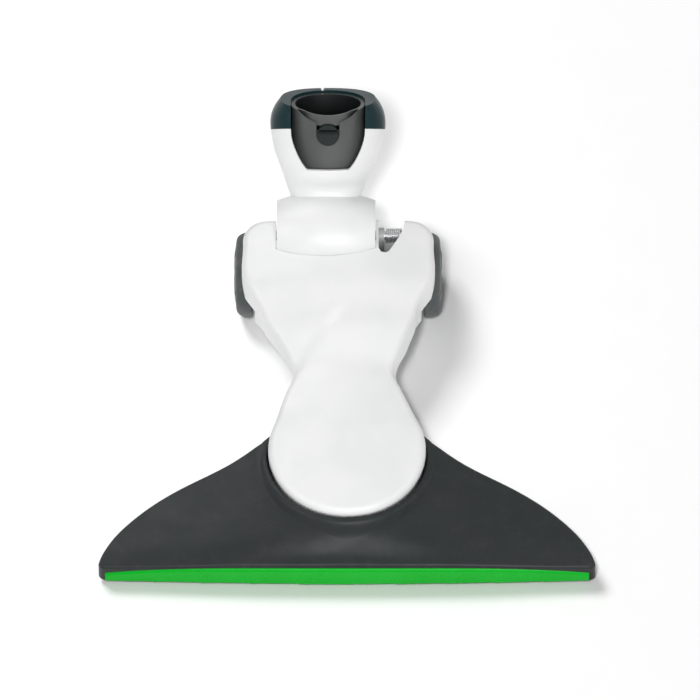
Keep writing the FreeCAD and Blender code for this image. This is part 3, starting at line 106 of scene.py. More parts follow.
def pick(obj, want_face=None, want_edge=None):
    """Select faces or edges of a mesh by a test on their place, and enter edit mode."""
    bpy.ops.object.mode_set(mode="OBJECT")
    mesh = obj.data
    for part in (mesh.vertices, mesh.edges, mesh.polygons):
        for item in part:
            item.select = False
    if want_face:
        for face in mesh.polygons:
            face.select = bool(want_face(face))
    if want_edge:
        for edge in mesh.edges:
            a, b = (mesh.vertices[i].co for i in edge.vertices)
            edge.select = bool(want_edge(a, b))
    bpy.ops.object.mode_set(mode="EDIT")


def settle(obj, body, name, material, smooth=35.0):
    """Put a finished piece at the origin, shade it, and let it ride on its body."""
    if bpy.context.object and bpy.context.object.mode != "OBJECT":
        bpy.ops.object.mode_set(mode="OBJECT")
    clear_selection()
    obj.select_set(True)
    bpy.context.view_layer.objects.active = obj
    bpy.ops.object.transform_apply(location=True, rotation=True, scale=True)
    bpy.ops.object.shade_smooth_by_angle(angle=math.radians(smooth))
    obj.name = name
    obj.data.name = name
    obj.data.materials.clear()
    obj.data.materials.append(material)
    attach(obj, body)
    return obj


def add_ring(name, centre, radius, steps):
    """Circle of edges square to the X axis, in edit mode with all of it selected."""
    clear_selection()
    bpy.ops.mesh.primitive_circle_add(vertices=steps, radius=radius, fill_type="NOTHING",
                                      location=centre, rotation=(0, math.pi / 2, 0))
    ring = bpy.context.object
    ring.name = name
    bpy.ops.object.transform_apply(location=True, rotation=True, scale=True)
    bpy.ops.object.mode_set(mode="EDIT")
    bpy.ops.mesh.select_all(action="SELECT")
    return ring


def turned_piece(name, centre, way, profile, steps=96):
    """Solid of revolution about X: each further ring is extruded along X and resized.

    The profile is a closed list of (distance outward, radius); way is 1 or -1."""
    last_out, last_radius = profile[0]
    start = Vector(centre) + Vector((way * last_out, 0, 0))
    ring = add_ring(name, start, last_radius, steps)
    for out, radius in profile[1:]:
        bpy.ops.mesh.extrude_region_move(
            TRANSFORM_OT_translate={"value": (way * (out - last_out), 0, 0)})
        grow = radius / last_radius
        bpy.ops.transform.resize(value=(1, grow, grow), center_override=tuple(centre))
        last_out, last_radius = out, radius
    bpy.ops.object.mode_set(mode="OBJECT")
    pick(ring, want_edge=lambda a, b: any(
        all(abs(v.x - (centre[0] + way * out)) < 1e-6
            and abs(math.hypot(v.y - centre[1], v.z - centre[2]) - radius) < 1e-5
            for v in (a, b)) for out, radius in (profile[0], profile[-1])))
    bpy.ops.mesh.bridge_edge_loops()
    bpy.ops.mesh.select_all(action="SELECT")
    bpy.ops.mesh.normals_make_consistent(inside=False)
    bpy.ops.object.mode_set(mode="OBJECT")
    return ring


def joined(parts):
    """Join copies into the first piece."""
    clear_selection()
    for part in parts:
        part.select_set(True)
    bpy.context.view_layer.objects.active = parts[0]
    bpy.ops.object.join()
    return bpy.context.object


# ---------------------------------------------------------------- shader groups

def new_group(name, sockets_in, sockets_out):
    """Empty shader node group with named sockets, or the one already made."""
    group = bpy.data.node_groups.get(name)
    if group:
        return group, None, None
    group = bpy.data.node_groups.new(name, "ShaderNodeTree")
    for label, kind, default in sockets_in:
        socket = group.interface.new_socket(name=label, in_out="INPUT", socket_type=kind)
        if default is not None:
            socket.default_value = default
    for label, kind in sockets_out:
        group.interface.new_socket(name=label, in_out="OUTPUT", socket_type=kind)
    source = group.nodes.new("NodeGroupInput")
    result = group.nodes.new("NodeGroupOutput")
    return group, source, result


def noise(tree, vector, scale, detail=3.0, rough=0.5):
    """Noise texture fed by a vector; scale is a number or a socket."""
    node = tree.nodes.new("ShaderNodeTexNoise")
    node.inputs["Detail"].default_value = detail
    node.inputs["Roughness"].default_value = rough
    tree.links.new(vector, node.inputs["Vector"])
    if isinstance(scale, (int, float)):
        node.inputs["Scale"].default_value = scale
    else:
        tree.links.new(scale, node.inputs["Scale"])
    return node.outputs["Fac"]


def maths(tree, kind, first, second=None, third=None):
    """Math node; every operand is a number or a socket."""
    node = tree.nodes.new("ShaderNodeMath")
    node.operation = kind
    for slot_number, value in enumerate((first, second, third)):
        if value is None:
            continue
        if isinstance(value, (int, float)):
            node.inputs[slot_number].default_value = value
        else:
            tree.links.new(value, node.inputs[slot_number])
    return node.outputs[0]


def stretch(tree, value, low, high, to_low=0.0, to_high=1.0):
    """Smooth map of a value from one range to another, clamped."""
    node = tree.nodes.new("ShaderNodeMapRange")
    node.interpolation_type = "SMOOTHSTEP"
    tree.links.new(value, node.inputs["Value"])
    for label, number in (("From Min", low), ("From Max", high), ("To Min", to_low),
                          ("To Max", to_high)):
        if isinstance(number, (int, float)):
            node.inputs[label].default_value = number
        else:
            tree.links.new(number, node.inputs[label])
    return node.outputs["Result"]


def blend_colours(tree, share, first, second, kind="MIX"):
    """Mix of two colours; each is a tuple or a socket."""
    node = tree.nodes.new("ShaderNodeMix")
    node.data_type = "RGBA"
    node.blend_type = kind
    if isinstance(share, (int, float)):
        node.inputs["Factor"].default_value = share
    else:
        tree.links.new(share, node.inputs["Factor"])
    for label, value in (("A", first), ("B", second)):
        socket = next(s for s in node.inputs if s.name == label and s.type == "RGBA")
        if isinstance(value, bpy.types.NodeSocket):
            tree.links.new(value, socket)
        else:
            socket.default_value = tuple(value)[:3] + (1.0,)
    return next(s for s in node.outputs if s.type == "RGBA")


def moulded_grain():
    """Fine spark-eroded grain of a moulded part, with broad flow patches."""
    group, source, result = new_group("Moulded Grain", [
        ("Vector", "NodeSocketVector", None), ("Grain Scale", "NodeSocketFloat", 2600.0),
        ("Patch Scale", "NodeSocketFloat", 28.0)],
        [("Height", "NodeSocketFloat"), ("Patch", "NodeSocketFloat")])
    if source:
        fine = noise(group, source.outputs["Vector"], source.outputs["Grain Scale"], 4.0, 0.62)
        soft = noise(group, source.outputs["Vector"],
                     maths(group, "MULTIPLY", source.outputs["Grain Scale"], 0.31), 2.0)
        height = maths(group, "MULTIPLY_ADD", soft, 0.5, maths(group, "MULTIPLY", fine, 0.5))
        patch = noise(group, source.outputs["Vector"], source.outputs["Patch Scale"], 3.0, 0.55)
        group.links.new(height, result.inputs["Height"])
        group.links.new(stretch(group, patch, 0.34, 0.66), result.inputs["Patch"])
    return group


def scuff_marks():
    """Long fine scratches and a few small knocks from use."""
    group, source, result = new_group("Scuff Marks", [
        ("Vector", "NodeSocketVector", None), ("Amount", "NodeSocketFloat", 0.3),
        ("Size", "NodeSocketFloat", 60.0)],
        [("Mask", "NodeSocketFloat")])
    if source:
        bend = group.nodes.new("ShaderNodeMapping")
        bend.inputs["Rotation"].default_value = (0.4, 0.2, 0.9)
        bend.inputs["Scale"].default_value = (1.0, 14.0, 3.0)
        group.links.new(source.outputs["Vector"], bend.inputs["Vector"])
        lines = noise(group, bend.outputs["Vector"], source.outputs["Size"], 5.0, 0.7)
        where = noise(group, source.outputs["Vector"],
                      maths(group, "MULTIPLY", source.outputs["Size"], 0.4), 2.0)
        thin = stretch(group, lines, 0.66, 0.74)
        some = stretch(group, where, 0.52, 0.66)
        mask = maths(group, "MULTIPLY", maths(group, "MULTIPLY", thin, some),
                     source.outputs["Amount"])
        group.links.new(mask, result.inputs["Mask"])
    return group


def handling_film():
    """Soft smears left by hands and cloths; they only change the gloss."""
    group, source, result = new_group("Handling Film", [
        ("Vector", "NodeSocketVector", None), ("Size", "NodeSocketFloat", 45.0)],
        [("Film", "NodeSocketFloat")])
    if source:
        swirl = group.nodes.new("ShaderNodeTexNoise")
        swirl.inputs["Scale"].default_value = 20.0
        group.links.new(source.outputs["Vector"], swirl.inputs["Vector"])
        drift = group.nodes.new("ShaderNodeVectorMath")
        drift.operation = "MULTIPLY_ADD"
        group.links.new(swirl.outputs["Color"], drift.inputs[0])
        drift.inputs[1].default_value = (0.03, 0.03, 0.03)
        group.links.new(source.outputs["Vector"], drift.inputs[2])
        film = noise(group, drift.outputs[0], source.outputs["Size"], 4.0, 0.6)
        group.links.new(stretch(group, film, 0.36, 0.68), result.inputs["Film"])
    return group


def lodged_dust():
    """Pale floor dust that collects in specks and drifts."""
    group, source, result = new_group("Lodged Dust", [
        ("Vector", "NodeSocketVector", None), ("Amount", "NodeSocketFloat", 0.2)],
        [("Mask", "NodeSocketFloat")])
    if source:
        drift = noise(group, source.outputs["Vector"], 90.0, 4.0, 0.65)
        speck = noise(group, source.outputs["Vector"], 1500.0, 2.0, 0.5)
        cover = maths(group, "MULTIPLY", stretch(group, drift, 0.45, 0.75),
                      stretch(group, speck, 0.40, 0.62))
        group.links.new(maths(group, "MULTIPLY", cover, source.outputs["Amount"]),
                        result.inputs["Mask"])
    return group


def seeing_rays(tree, path):
    """One for the rays that see what they hit: camera, glossy and transmission rays."""
    seen = maths(tree, "ADD", path.outputs["Is Camera Ray"], path.outputs["Is Glossy Ray"])
    return maths(tree, "ADD", seen, path.outputs["Is Transmission Ray"])


def placed_group(tree, group, vector, **values):
    """Group node in a material with its own values on the sockets."""
    node = tree.nodes.new("ShaderNodeGroup")
    node.node_tree = group
    tree.links.new(vector, node.inputs["Vector"])
    for label, value in values.items():
        node.inputs[label.replace("_", " ")].default_value = value
    return node


def moulded(name, colour, second, roughness, spread=0.08, grain=2600.0, depth=0.00002,
            scuffs=0.25, scuff_colour=(0.6, 0.6, 0.6), dust=0.0, specular=0.5):
    """Moulded plastic or rubber with grain, flow patches, scuffs, film and dust."""
    material = bpy.data.materials.new(name)
    material.use_nodes = True
    tree = material.node_tree
    shader = tree.nodes["Principled BSDF"]
    vector = tree.nodes.new("ShaderNodeTexCoord").outputs["Object"]
    skin = placed_group(tree, moulded_grain(), vector, Grain_Scale=grain, Patch_Scale=26.0)
    marks = placed_group(tree, scuff_marks(), vector, Amount=scuffs, Size=70.0)
    film = placed_group(tree, handling_film(), vector, Size=42.0)
    colour_now = blend_colours(tree, skin.outputs["Patch"], colour, second)
    colour_now = blend_colours(tree, marks.outputs["Mask"], colour_now, scuff_colour)
    if dust > 0:
        lint = placed_group(tree, lodged_dust(), vector, Amount=dust)
        colour_now = blend_colours(tree, lint.outputs["Mask"], colour_now, (0.45, 0.43, 0.40))
    tree.links.new(colour_now, shader.inputs["Base Color"])
    gloss = maths(tree, "MULTIPLY_ADD", film.outputs["Film"], spread, roughness - spread / 2)
    gloss = maths(tree, "MULTIPLY_ADD", marks.outputs["Mask"], 0.25, gloss)
    tree.links.new(gloss, shader.inputs["Roughness"])
    bump = tree.nodes.new("ShaderNodeBump")
    bump.inputs["Strength"].default_value = 0.6
    bump.inputs["Distance"].default_value = depth
    relief = maths(tree, "MULTIPLY_ADD", marks.outputs["Mask"], -0.5, skin.outputs["Height"])
    tree.links.new(relief, bump.inputs["Height"])
    tree.links.new(bump.outputs["Normal"], shader.inputs["Normal"])
    shader.inputs["Specular IOR Level"].default_value = specular
    return material


def paint_bore_shade(material, colour):
    """Painted shade on the liner: a darker tone on the wall of its oval bore and on its bared
    outer side, where shade falls inside the bore and in the gap beside the liner.
    """
    tree = material.node_tree
    shader = tree.nodes["Principled BSDF"]
    mount = next(m for m in frame["record"]["mounts"] if m["name"] == "tube_socket")
    axis = Vector(mount["axis"]).normalized()
    rearward = axis.cross(Vector((1, 0, 0))).normalized()
    low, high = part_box("socket_seal")
    half_wide = (high.x - low.x) / 2 + 0.0002
    half_deep = half_wide * BORE_RATIO
    place = tree.nodes.new("ShaderNodeVectorMath")
    place.operation = "SUBTRACT"
    vector = next(n for n in tree.nodes if n.type == "TEX_COORD").outputs["Object"]
    tree.links.new(vector, place.inputs[0])
    place.inputs[1].default_value = Vector(mount["pos_m"])
    shares = []
    for way, half in ((Vector((1, 0, 0)), half_wide), (rearward, half_deep)):
        along = tree.nodes.new("ShaderNodeVectorMath")
        along.operation = "DOT_PRODUCT"
        tree.links.new(place.outputs[0], along.inputs[0])
        along.inputs[1].default_value = way / half
        shares.append(maths(tree, "POWER", maths(tree, "ABSOLUTE", along.outputs["Value"]),
                            OVAL_POWER))
    spread = maths(tree, "ADD", *shares)
    # Masks of the painted shade: the bore's wall and the liner's bared outer side.
    bore = stretch(tree, spread, *BORE_EDGE, 1.0, 0.0)
    liner = maths(tree, "MULTIPLY", stretch(tree, spread, *LINER_START),
                  stretch(tree, spread, *LINER_END, 1.0, 0.0))
    inside = maths(tree, "MAXIMUM", bore, liner)
    before = shader.inputs["Base Color"].links[0].from_socket
    tree.links.new(blend_colours(tree, inside, before, tuple(colour)),
                   shader.inputs["Base Color"])


def drawn_steel(name, colour, roughness=0.28):
    """Bright steel with fine drawing lines and a slightly dull film."""
    material = bpy.data.materials.new(name)
    material.use_nodes = True
    tree = material.node_tree
    shader = tree.nodes["Principled BSDF"]
    vector = tree.nodes.new("ShaderNodeTexCoord").outputs["Object"]
    mapping = tree.nodes.new("ShaderNodeMapping")
    mapping.inputs["Scale"].default_value = (12.0, 1.0, 1.0)
    tree.links.new(vector, mapping.inputs["Vector"])
    lines = noise(tree, mapping.outputs["Vector"], 900.0, 4.0, 0.7)
    film = placed_group(tree, handling_film(), vector, Size=120.0)
    tone = blend_colours(tree, film.outputs["Film"], colour, tuple(c * 0.72 for c in colour))
    tree.links.new(tone, shader.inputs["Base Color"])
    gloss = maths(tree, "MULTIPLY_ADD", lines, 0.22, roughness - 0.1)
    tree.links.new(gloss, shader.inputs["Roughness"])
    bump = tree.nodes.new("ShaderNodeBump")
    bump.inputs["Strength"].default_value = 0.35
    bump.inputs["Distance"].default_value = 0.00001
    tree.links.new(lines, bump.inputs["Height"])
    tree.links.new(bump.outputs["Normal"], shader.inputs["Normal"])
    shader.inputs["Metallic"].default_value = 1.0
    return material


def fibre(name, colour, second, scale):
    """Matted or standing fibre: pile, felt."""
    material = bpy.data.materials.new(name)
    material.use_nodes = True
    tree = material.node_tree
    shader = tree.nodes["Principled BSDF"]
    vector = tree.nodes.new("ShaderNodeTexCoord").outputs["Object"]
    strands = noise(tree, vector, scale, 6.0, 0.75)
    clumps = noise(tree, vector, scale * 0.12, 2.0)
    lint = placed_group(tree, lodged_dust(), vector, Amount=0.5)
    tone = blend_colours(tree, stretch(tree, strands, 0.35, 0.65), colour, second)
    tone = blend_colours(tree, stretch(tree, clumps, 0.4, 0.6, 0.0, 0.35), tone, colour)
    tone = blend_colours(tree, lint.outputs["Mask"], tone, (0.36, 0.34, 0.31))
    tree.links.new(tone, shader.inputs["Base Color"])
    tree.links.new(stretch(tree, strands, 0.2, 0.8, 0.8, 1.0), shader.inputs["Roughness"])
    bump = tree.nodes.new("ShaderNodeBump")
    bump.inputs["Strength"].default_value = 1.0
    bump.inputs["Distance"].default_value = 0.00012
    tree.links.new(strands, bump.inputs["Height"])
    tree.links.new(bump.outputs["Normal"], shader.inputs["Normal"])
    shader.inputs["Sheen Weight"].default_value = 0.3
    shader.inputs["Sheen Roughness"].default_value = 0.5
    return material


# ---------------------------------------------------------------- settings

def colour_property(label, note, value):
    """Colour setting with its default."""
    return bpy.props.FloatVectorProperty(name=label, description=note, default=value,
                                         subtype="COLOR", size=3, min=0.0, max=1.0)


def length_property(label, note, value):
    """Length setting in metres."""
    return bpy.props.FloatProperty(name=label, description=note, default=value, min=0.0,
                                   subtype="DISTANCE", unit="LENGTH", precision=5)


class FH_Colours(bpy.types.PropertyGroup):
    """Colours of the mouldings, the rubber and the metal."""
    white: colour_property("White shell", "Yoke, drum and neck", shade(246, 246, 246))
    white_patch: colour_property("White shell patches", "Second tone", shade(240, 241, 241))
    charcoal: colour_property("Base cover", "Wide base", shade(47, 50, 51))
    charcoal_patch: colour_property("Base cover patches", "Second tone", shade(43, 47, 47))
    sole: colour_property("Sole", "Lower plate", shade(44, 46, 46))
    green: colour_property("Front strip", "Strip along the front", shade(3, 173, 36))
    green_patch: colour_property("Front strip patches", "Second tone", shade(4, 178, 41))
    hood: colour_property("Hood", "Dark hood round the socket", shade(24, 49, 53))
    socket: colour_property("Socket", "Oval tube socket", shade(86, 89, 88))
    # Colour of the painted shade inside the socket's bore and in the gap beside its liner.
    bore: colour_property("Socket bore", "Inside of the tube socket", shade(22, 27, 27))
    latch: colour_property("Latch", "Latch button", shade(16, 25, 25))
    wheel: colour_property("Wheel", "Hubs and caps", shade(80, 85, 85))
    tyre: colour_property("Tyre", "Soft tread", shade(70, 75, 75))
    grey: colour_property("Inner parts", "Ducts, barrel and stop", shade(178, 180, 180))
    acetal: colour_property("Bearings", "Bearing rings", shade(222, 220, 210))
    steel: colour_property("Steel", "Pins, screws and springs", (0.62, 0.63, 0.64))
    pile: colour_property("Pile", "Bristle strips", shade(46, 47, 49))
    felt: colour_property("Felt", "Glides", shade(92, 94, 94))


class FH_Sizes(bpy.types.PropertyGroup):
    """Sizes of the fine pieces."""
    tufts: bpy.props.IntProperty(name="Tufts in a row", description="Tufts along each row of pile",
                                 default=84, min=10, max=200)
    carrier: length_property("Carrier", "Thickness of the strip that holds the tufts", 0.0013)
    wire: length_property("Spring wire", "Diameter of the tilt spring's wire", 0.00098)
    turns: bpy.props.IntProperty(name="Spring turns", description="Turns of the tilt spring",
                                 default=8, min=3, max=20)
    crown: length_property("Tread crown", "Drop of the tread at the wheel's outer face", 0.0052)
    ribs: bpy.props.IntProperty(name="Hub ribs", description="Ribs on each wheel's dished face",
                                default=6, min=3, max=12)


class FH_Stage(bpy.types.PropertyGroup):
    """Camera and light."""
    elevation: bpy.props.FloatProperty(
        name="Elevation", description="Camera above the horizon", subtype="ANGLE",
        unit="ROTATION", default=math.radians(54.0), min=0.0, max=math.radians(90.0))
    away: length_property("Distance", "From the camera to the middle of the view", 7.0)
    span: length_property("Span", "Width seen at the middle of the view", 0.4242)
    aim: bpy.props.FloatVectorProperty(
        name="Aim", description="Point in the middle of the view", size=3,
        subtype="TRANSLATION", unit="LENGTH", default=(0.0018, -0.009, 0.045))
    floor: colour_property("Floor", "Floor and backdrop", (0.86, 0.86, 0.86))


MATERIALS = {}


def finish_for(slot, colours):
    """Material for one of the record's slots, made once."""
    if slot in MATERIALS:
        return MATERIALS[slot]
    c = colours
    if slot == "white_shell":
        made = moulded("White gloss moulding", c.white, c.white_patch, 0.34, 0.10, 3000.0,
                       0.000006, 0.08, shade(214, 214, 212), 0.0, specular=0.4)
    elif slot == "charcoal_shell":
        made = moulded("Charcoal satin moulding", c.charcoal, c.charcoal_patch, 0.36, 0.10,
                       2600.0, 0.000012, 0.22, shade(104, 107, 107), 0.03, specular=0.14)
    elif slot == "charcoal_sole":
        made = moulded("Charcoal grained sole", c.sole, shade(40, 41, 42), 0.58, 0.12, 1500.0,
                       0.00005, 0.6, shade(92, 92, 90), 0.35)
    elif slot == "green_strip":
        made = moulded("Green gloss moulding", c.green, c.green_patch, 0.30, 0.08, 3000.0,
                       0.000006, 0.05, shade(90, 200, 110), 0.0, specular=0.12)
    elif slot == "bristles":
        made = fibre("Nylon pile", c.pile, shade(84, 84, 86), 2600.0)
    elif slot == "felt":
        made = fibre("Pressed felt", c.felt, shade(120, 122, 122), 1800.0)
    elif slot == "bearing_plastic":
        made = moulded("Acetal ring", c.acetal, shade(214, 211, 200), 0.32, 0.1, 2800.0,
                       0.000008, 0.3, shade(170, 168, 160))
    elif slot == "seal_rubber":
        made = moulded("Seal rubber", shade(34, 34, 34), shade(40, 40, 40), 0.7, 0.1, 1800.0,
                       0.00002, 0.1, shade(70, 70, 70), 0.2)
    elif slot == "steel":
        made = drawn_steel("Bright steel", tuple(c.steel))
    elif slot == "roller_plastic":
        made = moulded("Roller moulding", shade(98, 101, 101), shade(90, 93, 93), 0.42, 0.1,
                       2200.0, 0.00002, 0.6, shade(140, 141, 140), 0.25)
    elif slot == "grey_plastic":
        made = moulded("Light grey moulding", c.grey, shade(168, 170, 170), 0.48, 0.08, 2000.0,
                       0.00002, 0.15, shade(150, 150, 150), 0.15)
    elif slot == "wheel_rubber":
        made = moulded("Soft tread", c.tyre, shade(62, 67, 67), 0.62, 0.1, 1700.0, 0.00003, 0.35,
                       shade(112, 114, 113), 0.25)
    elif slot == "wheel_plastic":
        made = moulded("Wheel moulding", c.wheel, shade(74, 79, 79), 0.38, 0.1, 2400.0,
                       0.000015, 0.3, shade(124, 126, 126), 0.1)
    elif slot == "hood_dark":
        made = moulded("Blue-black gloss moulding", c.hood, shade(21, 45, 49), 0.30, 0.08, 3000.0,
                       0.000006, 0.12, shade(60, 80, 84), 0.0, specular=0.14)
    elif slot == "socket_grey":
        made = moulded("Socket moulding", c.socket, shade(78, 81, 80), 0.42, 0.1, 2200.0,
                       0.000018, 0.35, shade(116, 118, 117), 0.04, specular=0.35)
        # Painted shade inside the socket's bore and beside its liner.
        paint_bore_shade(made, c.bore)
    elif slot == "latch_dark":
        made = moulded("Latch moulding", c.latch, shade(13, 22, 22), 0.34, 0.08, 2400.0,
                       0.00001, 0.3, shade(70, 78, 78), 0.0, specular=0.25)
    else:
        raise RuntimeError("no finish for slot " + slot)
    MATERIALS[slot] = made
    return made


def slot_of_nodes():
    """Record slot of every node."""
    return {part["node"]: part["material_slot"] for part in frame["record"]["subparts"]}


# ---------------------------------------------------------------- operators

class FH_OT_finishes(bpy.types.Operator):
    """Give every moulded, metal and fibre piece of the head its finish."""
    bl_idname = "floorhead.finishes"
    bl_label = "Finishes"

    def execute(self, context):
        colours = context.scene.floorhead_colours
        slots = slot_of_nodes()
        for name, obj in NODES.items():
            if name not in slots:
                raise RuntimeError("no slot for node " + name)
            material = finish_for(slots[name], colours)
            if not obj.material_slots:
                obj.data.materials.append(material)
            for place in obj.material_slots:
                place.material = material
        return {"FINISHED"}


class FH_OT_pile(bpy.types.Operator):
    """Build both pile strips: a carrier with two staggered rows of splayed tufts."""
    bl_idname = "floorhead.pile_strips"
    bl_label = "Pile strips"

    def execute(self, context):
        sizes = context.scene.floorhead_sizes
        random.seed(7)
        for place in ("front", "rear"):
            node = "bristle_strip_" + place
            low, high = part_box(node)
            parts = [self.carrier(low, high, sizes.carrier)]
            parts += self.rows(low, high, sizes)
            strip = settle(joined(parts), "base", "pile_strip_" + place,
                           finish_for("bristles", context.scene.floorhead_colours), 50.0)
            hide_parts(node)
        return {"FINISHED"}

    def carrier(self, low, high, thick):
        """Flat bar with rounded long edges and raised lips beside the tufts."""
        clear_selection()
        bpy.ops.mesh.primitive_plane_add(size=1.0, location=(
            (low.x + high.x) / 2, (low.y + high.y) / 2, high.z - thick))
        bar = bpy.context.object
        bar.scale = (high.x - low.x, high.y - low.y, 1.0)
        bpy.ops.object.transform_apply(location=True, rotation=True, scale=True)
        bpy.ops.object.mode_set(mode="EDIT")
        bpy.ops.mesh.select_all(action="SELECT")
        bpy.ops.mesh.extrude_region_move(TRANSFORM_OT_translate={"value": (0, 0, thick)})
        pick(bar, want_face=lambda f: f.center.z < high.z - thick * 0.9)
        bpy.ops.mesh.inset(thickness=0.0007, depth=0)
        bpy.ops.transform.translate(value=(0, 0, 0.0004))
        bpy.ops.mesh.select_all(action="SELECT")
        bpy.ops.mesh.bevel(offset=0.00012, segments=2)
        bpy.ops.mesh.normals_make_consistent(inside=False)
        bpy.ops.object.mode_set(mode="OBJECT")
        return bar

    def tuft(self, low, top):
        """One six-sided tuft, splayed and frayed at its foot."""
        clear_selection()
        tall = top - low.z
        bpy.ops.mesh.primitive_cone_add(vertices=6, radius1=0.00062, radius2=0.00050,
                                        depth=tall * 0.55, location=(0, 0, top - tall * 0.275))
        tuft = bpy.context.object
        bpy.ops.object.transform_apply(location=True, rotation=True, scale=True)
        foot = top - tall * 0.55
        pick(tuft, want_face=lambda f: f.normal.z < -0.9)
        bpy.ops.mesh.extrude_region_move(TRANSFORM_OT_translate={"value": (0, 0, low.z - foot)})
        bpy.ops.transform.resize(value=(1.5, 1.5, 1), center_override=(0, 0, low.z))
        bpy.ops.mesh.inset(thickness=0.0003, depth=0)
        bpy.ops.transform.translate(value=(0, 0, tall * 0.16))
        bpy.ops.object.mode_set(mode="OBJECT")
        return tuft

    def rows(self, low, high, sizes):
        """Two staggered rows of copies, each turned a little by chance."""
        top = high.z - sizes.carrier + 0.0005
        first = self.tuft(low, top)
        step = (high.x - low.x - 0.004) / (sizes.tufts - 1)
        middle = (low.y + high.y) / 2
        made = []
        for row in (-1, 1):
            count = sizes.tufts - (1 if row > 0 else 0)
            for number in range(count):
                tuft = first.copy()
                tuft.data = first.data.copy()
                bpy.context.scene.collection.objects.link(tuft)
                shift = step / 2 if row > 0 else 0.0
                tuft.location = (low.x + 0.002 + shift + number * step,
                                 middle + row * 0.00085, 0)
                tuft.rotation_euler = (0, 0, random.uniform(0, math.pi))
                size = random.uniform(0.92, 1.06)
                tuft.scale = (size, size, 1.0)
                made.append(tuft)
        bpy.data.objects.remove(first, do_unlink=True)
        return made


class FH_OT_spring(bpy.types.Operator):
    """Wind the tilt spring: one round of wire swept by a screw about the hinge pin."""
    bl_idname = "floorhead.tilt_spring"
    bl_label = "Tilt spring"

    def execute(self, context):
        sizes = context.scene.floorhead_sizes
        low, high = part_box("tilt_spring")
        middle = (low + high) / 2
        half_wire = sizes.wire / 2
        radius = (high.z - low.z) / 2 - half_wire
        clear_selection()
        bpy.ops.mesh.primitive_circle_add(
            vertices=12, radius=half_wire, fill_type="NOTHING",
            location=(low.x + half_wire, middle.y, middle.z), rotation=(math.pi / 2, 0, 0))
        coil = context.object
        bpy.ops.object.transform_apply(location=False, rotation=True, scale=True)
        bpy.ops.object.mode_set(mode="EDIT")
        bpy.ops.mesh.select_all(action="SELECT")
        bpy.ops.transform.translate(value=(0, 0, radius))
        bpy.ops.object.mode_set(mode="OBJECT")
        sweep = coil.modifiers.new("Coil", "SCREW")
        sweep.axis = "X"
        sweep.angle = 2 * math.pi
        sweep.iterations = sizes.turns
        sweep.screw_offset = (high.x - low.x - sizes.wire) / sizes.turns
        sweep.steps = 40
        sweep.render_steps = 40
        bpy.ops.object.modifier_apply(modifier=sweep.name)
        bpy.ops.object.mode_set(mode="EDIT")
        bpy.ops.mesh.select_all(action="SELECT")
        bpy.ops.mesh.remove_doubles(threshold=0.000005)
        bpy.ops.mesh.fill_holes(sides=0)
        bpy.ops.mesh.select_all(action="SELECT")
        bpy.ops.mesh.normals_make_consistent(inside=False)
        bpy.ops.object.mode_set(mode="OBJECT")
        coil = settle(coil, "yoke", "spring_coil",
                      finish_for("steel", context.scene.floorhead_colours), 60.0)
        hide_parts("tilt_spring")
        return {"FINISHED"}


